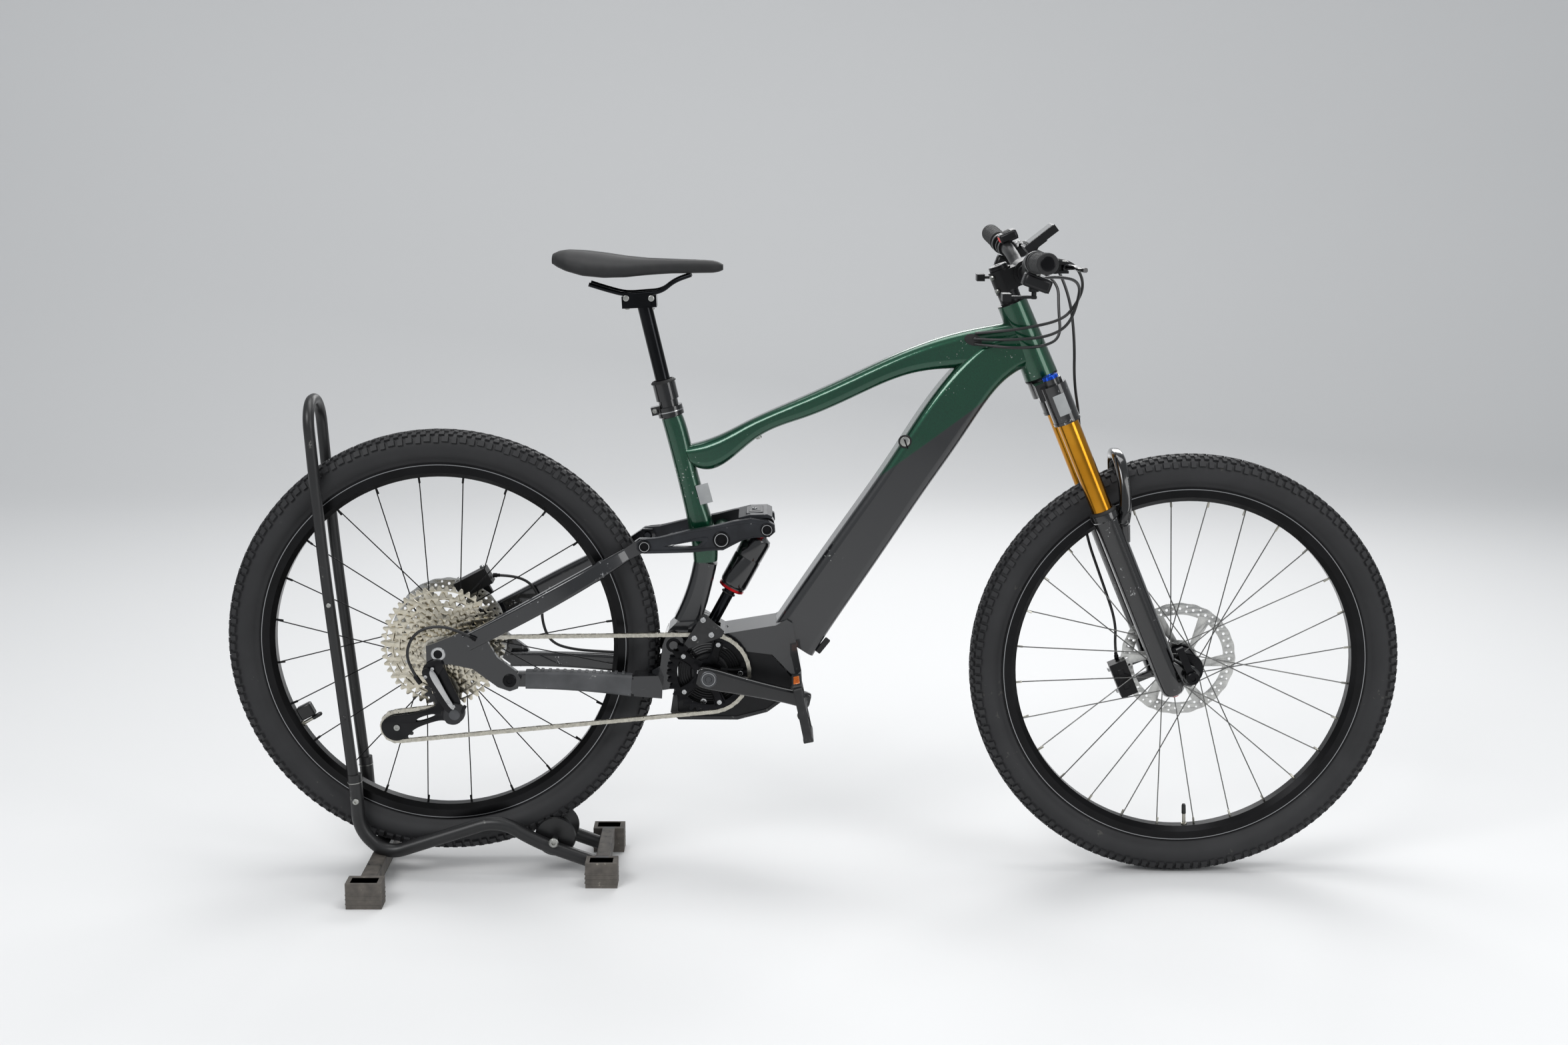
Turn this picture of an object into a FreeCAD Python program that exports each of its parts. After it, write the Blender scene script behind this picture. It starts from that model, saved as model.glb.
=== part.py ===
"""Full-suspension electric mountain bicycle standing in a tubular floor stand.

Millimetres, +Z up, +X towards the front wheel, drive side on -Y. The origin is on the floor, midway
between the two wheel axles. Shapes behind the head tube are drawn in coordinates that start at the rear
axle (x ahead of it, z above the floor); shapes of the front end hang on the steering axis.
"""
import FreeCAD, Part
import math
import os
import re
import Sketcher
from FreeCAD import Placement, Rotation, Vector

SIZES = {
    "wheelbase": 1281,
    "tyre_radius": 372.5,
    "tyre_width": 61,
    "tyre_wall": 3.5,
    "bead_radius": 311,
    "rim_flange": 317,
    "rim_inner": 292,
    "rim_width": 35,
    "rim_wall": 2.2,
    "spoke_radius": 1,
    "rotor_radius": 101.5,
    "rotor_thickness": 1.8,
    "rear_axle_height": 410,
    "rear_hub_width": 148,
    "front_hub_width": 110,
    "axle_radius": 6,
    "hub_core": 13,
    "hub_flange": 28,
    "running_fit": 0.05,
    "gap": 0.4,
    "head_angle": 67,
    "fork_offset": 44,
    "fork_length": 568,
    "leg_ahead": 8,
    "leg_spacing": 132,
    "stanchion_radius": 18,
    "stanchion_wall": 2.5,
    "lower_radius": 21.5,
    "fork_travel": 160,
    "steerer_radius": 14.3,
    "frame_wall": 2.6,
    "down_tube_width": 75,
    "cradle_width": 88,
    "lug_width": 67,
    "ear_thickness": 12,
    "pivot_radius": 7.5,
    "rocker_inner": 46,
    "rocker_thickness": 12,
    "link_slip": 3.3,
    "shock_length": 210,
    "can_radius": 24,
    "can_length": 110,
    "shaft_radius": 10,
    "dropper_radius": 12.5,
    "dropper_travel": 120,
    "saddle_length": 280,
    "saddle_width": 142,
    "bar_width": 780,
    "bar_radius": 11.1,
    "bar_clamp_radius": 15.9,
    "grip_length": 132,
    "grip_radius": 16,
    "crank_length": 162,
    "ring_root": 65,
    "chain_line": 55,
    "chain_width": 4.8,
    "chain_height": 7.2,
    "cog_pitch": 3.6,
    "jockey_root": 22.5,
    "pedal_length": 100,
    "pedal_width": 92,
    "pedal_thickness": 17,
    "rail_radius": 12,
    "hoop_radius": 9.5,
    "stand_half_width": 50,
    "rest_foot_reach": 185,
    "front_foot_reach": 88,
    "roller_core": 18,
    "roller_flange": 36,
}

doc = FreeCAD.newDocument("bicycle_on_stand")
sheet = doc.addObject("Spreadsheet::Sheet", "Sizes")
for row, (alias, value) in enumerate(SIZES.items(), start=1):
    sheet.set(f"A{row}", alias)
    sheet.set(f"B{row}", str(value))
    sheet.setAlias(f"B{row}", alias)
doc.recompute()

NODES = []
Y_AXIS = Vector(0, 1, 0)


def expr(text):
    """Expression text in which every alias points at its cell of the sheet."""
    return re.sub(r"[a-z_]{3,}", lambda m: "Sizes." + m.group() if m.group() in SIZES else m.group(),
                  str(text))


def size(text):
    """Present value of an alias or of a sum of aliases."""
    value = sheet.evalExpression(expr(text))
    return float(getattr(value, "Value", value))


def rear(x, z, y=0.0):
    """Point x ahead of the rear axle, z above the floor, y to the left."""
    return Vector(x - size("wheelbase") / 2, y, z)


HEAD = math.radians(size("head_angle"))
UP = Vector(-math.cos(HEAD), 0, math.sin(HEAD))
AHEAD = Vector(math.sin(HEAD), 0, math.cos(HEAD))
FRONT_AXLE = Vector(size("wheelbase") / 2, 0, size("tyre_radius"))
REAR_AXLE = rear(0, size("rear_axle_height"))
STEER_FOOT = FRONT_AXLE - AHEAD * size("fork_offset")
RACE = size("fork_length")


def front(back, z, y=0.0):
    """Point behind the front axle, z above the floor, y to the left."""
    return Vector(size("wheelbase") / 2 - back, y, z)


def steer(along, ahead=0.0, y=0.0):
    """Point of the front end: along the steering axis, ahead of it, and to the left."""
    return STEER_FOOT + UP * along + AHEAD * ahead + Y_AXIS * y


def node(name, obj):
    """Name a finished sub-part."""
    obj.Label = name
    NODES.append(obj)
    return obj


def cylinder(name, radius, length, start, direction=Y_AXIS):
    obj = doc.addObject("Part::Cylinder", name)
    obj.setExpression("Radius", expr(radius))
    obj.setExpression("Height", expr(length))
    obj.Placement = Placement(start, Rotation(Vector(0, 0, 1), direction))
    return obj


def cylinder_across(name, radius, width, centre):
    """Cylinder along Y, as wide on both sides of its centre."""
    return cylinder(name, radius, width, centre - Y_AXIS * (size(width) / 2))


def cone(name, radius_a, radius_b, length, start, direction):
    obj = doc.addObject("Part::Cone", name)
    obj.setExpression("Radius1", expr(radius_a))
    obj.setExpression("Radius2", expr(radius_b))
    obj.setExpression("Height", expr(length))
    obj.Placement = Placement(start, Rotation(Vector(0, 0, 1), direction))
    return obj


def box(name, length, width, height, centre, tilt=0.0):
    """Box about its centre, its length turned up from +X by tilt degrees."""
    obj = doc.addObject("Part::Box", name)
    obj.setExpression("Length", expr(length))
    obj.setExpression("Width", expr(width))
    obj.setExpression("Height", expr(height))
    turn = Rotation(Y_AXIS, -tilt)
    half = Vector(size(length), size(width), size(height)) * 0.5
    obj.Placement = Placement(centre - turn.multVec(half), turn)
    return obj


def fuse(name, *parts):
    obj = doc.addObject("Part::MultiFuse", name)
    obj.Shapes = list(parts)
    return obj


def cut(name, base, *tools):
    obj = doc.addObject("Part::Cut", name)
    obj.Base = base
    obj.Tool = tools[0] if len(tools) == 1 else fuse(name + "_tools", *tools)
    return obj


def group(name, *parts):
    """Several solids that share a node."""
    obj = doc.addObject("Part::Compound", name)
    obj.Links = list(parts)
    return obj


def feature(name, shape):
    obj = doc.addObject("Part::Feature", name)
    obj.Shape = shape
    obj.Placement = Placement()
    return obj


def origin_plane(body, role):
    return next(item for item in body.Origin.OriginFeatures if item.Role == role)


def sketched_body(name, role, loops, circles=()):
    """Body with one sketch of closed outlines, every corner held by two driven distances."""
    body = doc.addObject("PartDesign::Body", name)
    sketch = body.newObject("Sketcher::SketchObject", name + "_sketch")
    sketch.AttachmentSupport = (origin_plane(body, role), [""])
    sketch.MapMode = "FlatFace"
    for outline in loops:
        first = sketch.GeometryCount
        places = [Vector(size(a), size(b), 0) for a, b in outline]
        last = len(places) - 1
        for i, place in enumerate(places):
            sketch.addGeometry(Part.LineSegment(place, places[0 if i == last else i + 1]), False)
        for i in range(len(places)):
            following = first + (0 if i == last else i + 1)
            sketch.addConstraint(Sketcher.Constraint("Coincident", first + i, 2, following, 1))
        for i, corner in enumerate(outline):
            for kind, text, value in (("DistanceX", corner[0], places[i].x),
                                      ("DistanceY", corner[1], places[i].y)):
                index = sketch.addConstraint(Sketcher.Constraint(kind, -1, 1, first + i, 1, value))
                sketch.setExpression(f"Constraints[{index}]", expr(text))
    for a, b, radius in circles:
        index = sketch.GeometryCount
        sketch.addGeometry(Part.Circle(Vector(size(a), size(b), 0), Vector(0, 0, 1), size(radius)), False)
        sketch.addConstraint(Sketcher.Constraint("DistanceX", -1, 1, index, 3, size(a)))
        sketch.addConstraint(Sketcher.Constraint("DistanceY", -1, 1, index, 3, size(b)))
        rule = sketch.addConstraint(Sketcher.Constraint("Radius", index, size(radius)))
        sketch.setExpression(f"Constraints[{rule}]", expr(radius))
    return body, sketch


def turned(name, centre, *loops):
    """Solid of revolution about a line along Y; corners are (radius, place to the left of the centre)."""
    body, sketch = sketched_body(name, "XY_Plane", loops)
    spin = body.newObject("PartDesign::Revolution", name + "_turn")
    spin.Profile = sketch
    spin.ReferenceAxis = (sketch, ["V_Axis"])
    spin.Angle = 360
    body.Placement = Placement(centre, Rotation())
    return body


def plate(name, outline, thickness, y_low, circles=(), base=None):
    """Flat piece whose outline lies in the wheel plane, from y_low to the left by its thickness."""
    body, sketch = sketched_body(name, "XZ_Plane", [outline], circles)
    pad = body.newObject("PartDesign::Pad", name + "_pad")
    pad.Profile = sketch
    pad.Reversed = True
    pad.setExpression("Length", expr(thickness))
    start = base or rear(0, 0)
    body.Placement = Placement(start + Y_AXIS * size(y_low), Rotation())
    return body


def rounded_loop(centre, along, depth, width, corner):
    """Rounded rectangle square to a tube: depth in the wheel plane, width along Y."""
    across = along.cross(Y_AXIS).normalize()
    turn = 1 / math.sqrt(2)
    edges = []
    corners = [(1, 1), (-1, 1), (-1, -1), (1, -1)]
    for i, (a, b) in enumerate(corners):
        centre_ab = (a * (depth / 2 - corner), b * (width / 2 - corner))
        spans = {(1, 1): ((1, 0), (0, 1)), (-1, 1): ((0, 1), (-1, 0)),
                 (-1, -1): ((-1, 0), (0, -1)), (1, -1): ((0, -1), (1, 0))}[(a, b)]
        middle = (a * turn, b * turn)
        arc = [centre + across * (centre_ab[0] + corner * u) + Y_AXIS * (centre_ab[1] + corner * w)
               for u, w in (spans[0], middle, spans[1])]
        edges.append(arc)
    wire = []
    for i, arc in enumerate(edges):
        wire.append(Part.Arc(*arc).toShape())
        wire.append(Part.LineSegment(arc[2], edges[(i + 1) % 4][0]).toShape())
    return Part.Wire(wire)


def swept(sections, inset=0.0, ruled=False):
    """Solid through tube sections (centre, depth, width, corner), square to the line of centres."""
    centres = [section[0] for section in sections]
    wires = []
    for i, (centre, depth, width, corner) in enumerate(sections):
        before = centres[max(i - 1, 0)]
        after = centres[min(i + 1, len(centres) - 1)]
        bend = max(corner - inset, 1.0)
        wires.append(rounded_loop(centre, after - before, depth - 2 * inset, width - 2 * inset, bend))
    return Part.makeLoft(wires, True, ruled)


def route(points):
    """Straight runs joined by tangent arcs as large as the runs allow."""
    edges = []
    start = points[0]
    radii = []
    for before, corner, after in zip(points, points[1:], points[2:]):
        run_in = corner - before
        run_out = after - corner
        half_turn = run_in.getAngle(run_out) / 2
        trim = 0.45 * min(run_in.Length, run_out.Length)
        radii.append(trim / math.tan(half_turn))
        first = corner - Vector(run_in).normalize() * trim
        last = corner + Vector(run_out).normalize() * trim
        bisector = (Vector(run_out).normalize() - Vector(run_in).normalize()).normalize()
        middle = corner + bisector * (radii[-1] / math.cos(half_turn) - radii[-1])
        edges.append(Part.LineSegment(start, first).toShape())
        edges.append(Part.Arc(first, middle, last).toShape())
        start = last
    edges.append(Part.LineSegment(start, points[-1]).toShape())
    return Part.Wire(edges), radii


def tube(points, radius):
    """Round bar or cord along a route."""
    path, radii = route(points)
    direction = points[1] - points[0]
    profile = Part.Wire([Part.Circle(points[0], direction, radius).toShape()])
    return path.makePipeShell([profile], True, False), path, radii


def cord(name, points, radius):
    """Cord along its route; prints its bend radii and how its volume compares with section times length."""
    shape, path, radii = tube(points, radius)
    ideal = math.pi * radius ** 2 * path.Length
    print(name, "radii", [round(r) for r in radii], "volume ratio", round(shape.Volume / ideal, 4))
    return shape


def tangent(centre_a, radius_a, centre_b, radius_b, side_a, side_b):
    """Line that leaves circle a and meets circle b, each on its own side (+1 left of travel, -1 right)."""
    span = centre_b - centre_a
    length = math.hypot(span.x, span.z)
    lean = math.asin((side_a * radius_a - side_b * radius_b) / length)
    heading = math.atan2(span.z, span.x) - lean
    normal = Vector(-math.sin(heading), 0, math.cos(heading))
    return centre_a + normal * (side_a * radius_a), centre_b + normal * (side_b * radius_b), heading


# ---------------------------------------------------------------- floor stand
side = size("stand_half_width")
rail_points = [(-156, 186), (-150, 84), (-104, 40), (92, 104), (160, 62), (263, 24)]
BASE_REAR = rear(-117, 26.5)
BASE_FRONT = rear(273, 32)
ROLLER = rear(188, 67)


def stand_rail(y):
    shape, _, _ = tube([rear(x, z, y) for x, z in rail_points], size("rail_radius"))
    return feature("rail_left" if y > 0 else "rail_right", shape)


hoop_shape, _, _ = tube([rear(-155, 150, -side), rear(-172, 330, -side), rear(-196, 570, -side),
                         rear(-213, 832, -side), rear(-213, 832, side), rear(-196, 570, side),
                         rear(-172, 330, side), rear(-155, 150, side)], size("hoop_radius"))
hoop = node("stand_hoop", feature("hoop", hoop_shape))
rails = [stand_rail(-side), stand_rail(side)]
sockets = [cylinder(f"socket_{i}", "hoop_radius", 60, rear(-155, 150, y), Vector(-0.094, 0, 0.9956))
           for i, y in enumerate((-side, side))]
rear_bar = box("rear_bar", 26, "2 * rest_foot_reach - 16", 27, BASE_REAR)
front_bar = box("front_bar", 22, "2 * front_foot_reach - 16", 26, BASE_FRONT)
rest_block = box("rest_block", 26, 60, 15.6, rear(-117, 47.6))
wheel_space = cylinder_across("wheel_space", "tyre_radius + gap", 100, REAR_AXLE)
tyre_rest = cut("tyre_rest", rest_block, wheel_space)
roller_axle = cylinder_across("roller_axle", 5, "2 * stand_half_width + 26", ROLLER)
base = fuse("base", rails[0], rails[1], rear_bar, front_bar, tyre_rest, roller_axle)
node("stand_base", cut("base_bored", base, *sockets))

feet = []
for label, bar, middle, reach, length in (("rear", rear_bar, BASE_REAR, "rest_foot_reach", 60),
                                          ("front", front_bar, BASE_FRONT, "front_foot_reach", 55)):
    for turn in (-1, 1):
        foot_centre = Vector(middle.x, turn * size(reach), 22.5)
        block = box(f"{label}_foot_{turn + 1}", length, 38, 45, foot_centre)
        feet.append(cut(f"{label}_foot_cut_{turn + 1}", block, bar))
node("stand_feet", group("feet", *feet))

half_roller = side - size("rail_radius") - 2
roller_loop = [("5 + running_fit", -half_roller), (34, -half_roller), ("roller_flange", -half_roller + 4),
               ("roller_core", -half_roller + 12), ("roller_core", half_roller - 12),
               ("roller_flange", half_roller - 4), (34, half_roller), ("5 + running_fit", half_roller)]
node("stand_roller", turned("roller", ROLLER, roller_loop))


# ---------------------------------------------------------------- wheels
def wheel(end, centre, hub_width, spoke_count, rotor_y, drive_end):
    """Hub, rim, tyre, spokes and rotor of one wheel."""
    half = size("tyre_width") / 2
    wall = size("tyre_wall")
    outer = size("tyre_radius")
    bead = size("rim_width") / 2 - size("rim_wall") - 0.1
    outside = [("bead_radius", bead), ("rim_flange + 0.4", bead), (323, bead + 2), (333, half - 2),
               (347, half), (360, half - 4), ("tyre_radius - 3", half - 14), ("tyre_radius", half - 23)]
    inside = [("tyre_radius - tyre_wall", 0), (outer - wall - 3, half - 20), (outer - wall - 7, half - 13),
              (348, half - wall), (335, half - wall - 1.5), (323, bead - wall + 1),
              ("bead_radius", bead - wall)]
    loop = [(r, -y) for r, y in outside] + outside[::-1] + inside[::-1] + [(r, -y) for r, y in inside[1:]]
    node(f"{end}_tyre", turned(f"{end}_tyre_body", centre, loop))
    edge = size("rim_width") / 2
    lip = edge - size("rim_wall")
    rim_out = [("rim_flange", -edge), ("rim_flange", -lip), ("bead_radius", -lip), ("bead_radius", lip),
               ("rim_flange", lip), ("rim_flange", edge), (300, edge), ("rim_inner", 9), ("rim_inner", -9),
               (300, -edge)]
    rim_in = [("bead_radius - rim_wall", -lip), ("bead_radius - rim_wall", lip), (301.5, lip),
              ("rim_inner + rim_wall", 8), ("rim_inner + rim_wall", -8), (301.5, -lip)]
    node(f"{end}_rim", turned(f"{end}_rim_body", centre, rim_out, rim_in))
    bore = "axle_radius + running_fit"
    stop = size(hub_width) / 2 - 0.2
    inner, outer_flange = drive_end
    hub = [(bore, -stop), (9, -stop), (9, -stop + 2), (15, -stop + 2), (15, -inner - 3),
           ("hub_flange", -inner - 3),
           ("hub_flange", -inner), ("hub_core", -inner + 8), ("hub_core", outer_flange - 8),
           ("hub_flange", outer_flange), ("hub_flange", outer_flange + 3), (20, outer_flange + 3),
           (20, rotor_y - 1),
           (16, rotor_y - 1), (16, rotor_y + 1), (9, rotor_y + 4), (9, stop), (bore, stop)]
    node(f"{end}_hub", turned(f"{end}_hub_body", centre, hub))
    spokes = []
    for i in range(spoke_count):
        flange = -inner - 1.5 if i % 2 else outer_flange + 1.5
        lead = 1 if (i // 2) % 2 else -1
        at_rim = 2 * math.pi * (i + 0.5) / spoke_count
        at_hub = at_rim + lead * 1.15
        low = centre + Vector(math.cos(at_hub) * 29.1, flange, math.sin(at_hub) * 29.1)
        high = centre + Vector(math.cos(at_rim) * 291.7, math.copysign(3, flange), math.sin(at_rim) * 291.7)
        spokes.append(Part.makeCylinder(size("spoke_radius"), (high - low).Length, low, high - low))
    node(f"{end}_spokes", feature(f"{end}_spoke_set", Part.makeCompound(spokes)))
    disc_half = size("rotor_thickness") / 2
    disc = turned(f"{end}_disc", centre + Y_AXIS * rotor_y,
                  [(16, -disc_half), ("rotor_radius", -disc_half), ("rotor_radius", disc_half),
                   (16, disc_half)])
    windows = [cylinder_across(f"{end}_window_{i}", 19, 10,
                               centre + Vector(math.cos(i * math.pi / 3) * 57, rotor_y,
                                               math.sin(i * math.pi / 3) * 57))
               for i in range(6)]
    node(f"{end}_rotor", cut(f"{end}_rotor_cut", disc, *windows))


wheel("rear", REAR_AXLE, "rear_hub_width", 24, 57, (25, 34))
wheel("front", FRONT_AXLE, "front_hub_width", 28, 41, (32, 26))

COGS = (51, 45, 39, 33, 28, 24, 21, 18, 16, 14, 12, 10)
LINK = 12.7
CASSETTE_START = -29.4


def pitch_radius(teeth):
    return LINK / (2 * math.sin(math.pi / teeth))


steps = []
for index, teeth in enumerate(COGS):
    near = CASSETTE_START - index * size("cog_pitch")
    steps.append((pitch_radius(teeth) - 4, near))
    steps.append((pitch_radius(teeth) - 4, near - size("cog_pitch")))
last_cog = CASSETTE_START - len(COGS) * size("cog_pitch")
cassette_loop = [("15 + running_fit", CASSETTE_START)] + steps + [("15 + running_fit", last_cog)]
node("cassette", turned("cassette_body", REAR_AXLE, cassette_loop))

# ---------------------------------------------------------------- rear triangle
HORST = (120, 364)
MAIN = (397, 417)
ROCKER = (479, 604)
STAY = (349, 592)
KNUCKLE = (556, 622)
SHOCK_EYE = (457.0, 437.3)
CRANK = (458, 370)
PLATE_IN = size("rear_hub_width") / 2
PLATE_OUT = PLATE_IN + 10
dropout = [(-20, 391), (-20, 424), (-8, 428), (50, 452), (84, 432), (100, 404), (132, 380), (139, 366),
           (134, 350),
           (120, 345), (100, 352), (58, 384), (20, 392)]
stay_in = size("rocker_inner") - size("gap")
stay_thickness = 10


def rear_stay(turn):
    """Seatstay with its dropout plate, lug for the rocker and pin for the chainstay."""
    name = "right" if turn < 0 else "left"
    low = PLATE_IN if turn > 0 else -PLATE_OUT
    flat = plate(f"dropout_{name}", dropout, PLATE_OUT - PLATE_IN, low)
    tube_shape = swept([(rear(48, 430, turn * (PLATE_IN + 7)), 30, 14, 4),
                        (rear(150, 483, turn * (PLATE_IN + 3)), 31, 18, 5),
                        (rear(255, 541, turn * 64), 29, 18, 5),
                        (rear(318, 575, turn * (stay_in - stay_thickness / 2)), 22, stay_thickness, 3)])
    lug_low = stay_in - stay_thickness if turn > 0 else -stay_in
    lug = plate(f"stay_lug_{name}", [(312, 562), (304, 578), (340, 603), (358, 603), (363, 592), (358, 581),
                                     (345, 578)],
                stay_thickness, lug_low)
    pin = cylinder(f"horst_pin_{name}", "pivot_radius", PLATE_OUT - 57,
                   rear(*HORST, 57 if turn > 0 else -PLATE_OUT))
    stay = fuse(f"stay_{name}_whole", flat, feature(f"stay_tube_{name}", tube_shape), lug, pin)
    slot = cylinder_across(f"stay_slot_{name}", "pivot_radius - 2.5 + link_slip", 200, rear(*STAY))
    axle_bore = cylinder_across(f"stay_axle_bore_{name}", "axle_radius", 200, REAR_AXLE)
    node(f"seatstay_{name}", cut(f"stay_{name}_cut", stay, slot, axle_bore))


for turn in (-1, 1):
    rear_stay(turn)
node("rear_axle", fuse("rear_axle_whole",
                       cylinder_across("rear_axle_pin", "axle_radius", "rear_hub_width + 22", REAR_AXLE),
                       cylinder("rear_axle_head", 9, 3, REAR_AXLE + Y_AXIS * PLATE_OUT)))

CALIPER_GAP = 0.5
caliper_body = box("rear_caliper_body", 62, 32, 30, rear(44, 503, 58), 28)
caliper_slot = cylinder_across("rear_caliper_slot", "rotor_radius + 3",
                               f"rotor_thickness + {2 * CALIPER_GAP}",
                               REAR_AXLE + Y_AXIS * 57)
caliper_post = box("rear_caliper_post", 40, 10, 26, rear(52, 484, 69), 28)
node("rear_caliper", cut("rear_caliper_cut", fuse("rear_caliper_whole", caliper_body, caliper_post),
                         caliper_slot))

# Chainstay weldment: two arms, cheeks round the tyre, ears on the main pivot.
ARM_IN = 57
ARM_OUT = PLATE_IN - 0.4
stay_parts = []
for turn in (-1, 1):
    name = "right" if turn < 0 else "left"
    middle = turn * (ARM_IN + ARM_OUT) / 2
    arm = swept([(rear(104, 362, middle), 26, ARM_OUT - ARM_IN, 4),
                 (rear(200, 361, middle), 27, ARM_OUT - ARM_IN, 5),
                 (rear(345, 350, middle), 34, ARM_OUT - ARM_IN, 5)])
    stay_parts.append(feature(f"arm_{name}", arm))
    stay_parts.append(plate(f"cheek_{name}", [(330, 334), (378, 330), (379, 352), (372, 370), (330, 369)],
                            ARM_OUT - 36, 36 if turn > 0 else -ARM_OUT))
    ear_low = size("lug_width") / 2 + size("gap")
    stay_parts.append(plate(f"ear_{name}", [(360, 334), (397, 340), (399, 395), (412, 403), (417, 417),
                                            (412, 430),
                                            (397, 437), (384, 432), (378, 417), (374, 380), (360, 372)],
                            "ear_thickness", ear_low if turn > 0 else -ear_low - size("ear_thickness")))
stay_parts.append(box("yoke_bridge", 15, 92, 46, rear(389, 366)))
chainstay_whole = fuse("chainstay_whole", *stay_parts)
pivot_bore = cylinder_across("main_bore", "pivot_radius + running_fit", 120, rear(*MAIN))
horst_bore = cylinder_across("horst_bore", "pivot_radius + running_fit", 200, rear(*HORST))
node("chainstay", cut("chainstay_cut", chainstay_whole, pivot_bore, horst_bore))
sleeve = swept([(rear(146, 362, -(ARM_IN + ARM_OUT) / 2), 32, ARM_OUT - ARM_IN + 5, 6),
                (rear(200, 361, -(ARM_IN + ARM_OUT) / 2), 33, ARM_OUT - ARM_IN + 5, 6),
                (rear(326, 352, -(ARM_IN + ARM_OUT) / 2), 38, ARM_OUT - ARM_IN + 5, 6)])
node("chainstay_protector", cut("protector_cut", feature("sleeve", sleeve),
                                feature("arm_core", stay_parts[0].Shape),
                                cylinder_across("sleeve_horst_clear", 24, 300, rear(*HORST))))

# ---------------------------------------------------------------- derailleur and chain
COG_TEETH = 12
COG_Y = CASSETTE_START - 10.5 * size("cog_pitch") - 1
RING_Y = -size("chain_line")
UPPER = rear(2, 341, COG_Y)
LOWER = rear(-75, 278, COG_Y)
CAGE = rear(24, 302, COG_Y)
JOCKEY_PITCH = pitch_radius(13)
hanger = plate("hanger", [(-24, 372), (-8, 370), (8, 386), (6, 398), (-8, 400), (-26, 390)], 8,
               -PLATE_OUT - 8.4)
linkage = plate("linkage", [(-26, 386), (-10, 388), (6, 362), (34, 318), (38, 300), (26, 288), (12, 296),
                            (-18, 350)],
                12, -PLATE_OUT - 9)
knuckle = cylinder("knuckle", 15, 14, rear(24, 302, -PLATE_OUT - 9))
node("derailleur_body", fuse("derailleur_body_whole", hanger, linkage, knuckle,
                             cylinder("mount_bolt", 8, 8.6, rear(-17, 380, -PLATE_OUT - 8.6))))
cage_outline = [(22, 288), (36, 300), (32, 314), (14, 330), (10, 351), (-4, 352), (-8, 336), (0, 318),
                (-60, 296),
                (-70, 300), (-94, 300), (-104, 288), (-100, 266), (-84, 250), (-60, 254), (-50, 268),
                (-48, 284)]
cage_outer = plate("cage_outer", cage_outline, 2.4, COG_Y - 8.4)
cage_inner = plate("cage_inner", cage_outline, 2.4, COG_Y + 5.4)
cage_bolts = [cylinder(f"cage_bolt_{i}", 4, 15.2, Vector(p.x, COG_Y - 7.4, p.z)) for i,
              p in enumerate((UPPER, LOWER))]
cage_web = cylinder("cage_web", 5, 15.2, rear(24, 300, COG_Y - 7.4))
node("derailleur_cage", fuse("cage_whole", cage_outer, cage_inner, cage_web, *cage_bolts))
for name, place in (("upper", UPPER), ("lower", LOWER)):
    node(f"{name}_jockey_wheel", turned(f"{name}_jockey", place,
                                        [("4 + running_fit", -3), (10, -3), (12, -1),
                                                                  ("jockey_root", -1), ("jockey_root", 1),
                                         (12, 1),
                                                                  (10, 3), ("4 + running_fit", 3)]))

RING = rear(*CRANK, RING_Y)
COG = rear(0, size("rear_axle_height"), COG_Y)
ring_r = pitch_radius(34)
cog_r = pitch_radius(COG_TEETH)
half_h = size("chain_height") / 2
half_w = size("chain_width") / 2


def chain_run(name, start, end):
    """Straight stretch of chain."""
    travel = end - start
    across = travel.cross(Y_AXIS).normalize()
    corners = [start + across * (a * half_h) + Y_AXIS * (b * half_w) for a,
               b in ((1, 1), (1, -1), (-1, -1), (-1, 1))]
    face = Part.Face(Part.makePolygon(corners + corners[:1]))
    return face.extrude(travel)


def wrap_sector(centre, radius, angle_from, angle_to):
    """Arc of chain from one angle to another, anticlockwise seen from the drive side."""
    profile = [centre + Vector((radius + a * half_h) * math.cos(angle_from), b * half_w,
                               (radius + a * half_h) * math.sin(angle_from)) for a,
               b in ((1, 1), (1, -1), (-1, -1), (-1, 1))]
    face = Part.Face(Part.makePolygon(profile + profile[:1]))
    return face.revolve(centre, Vector(0, -1, 0), math.degrees(angle_to - angle_from))


def angle_of(point, centre):
    return math.atan2(point.z - centre.z, point.x - centre.x)


top_ring, top_cog, _ = tangent(RING, ring_r, COG, cog_r, -1, -1)
cog_exit, upper_in, _ = tangent(COG, cog_r, UPPER, JOCKEY_PITCH, -1, 1)
upper_out, lower_in, _ = tangent(UPPER, JOCKEY_PITCH, LOWER, JOCKEY_PITCH, 1, -1)
lower_out, ring_in, _ = tangent(LOWER, JOCKEY_PITCH, RING, ring_r, -1, -1)
print("chain points", [tuple(round(c, 1) for c in (p.x + size("wheelbase") / 2, p.y, p.z)) for p in
                       (top_ring, top_cog, cog_exit, upper_in, upper_out, lower_in, lower_out, ring_in)])


def sector_between(centre, radius, first, last, anticlockwise):
    """Chain wrapped on a wheel from its first to its last contact."""
    a = angle_of(first, centre)
    b = angle_of(last, centre)
    if not anticlockwise:
        a, b = b, a
    while b <= a:
        b += 2 * math.pi
    return wrap_sector(centre, radius, a, b)


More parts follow.
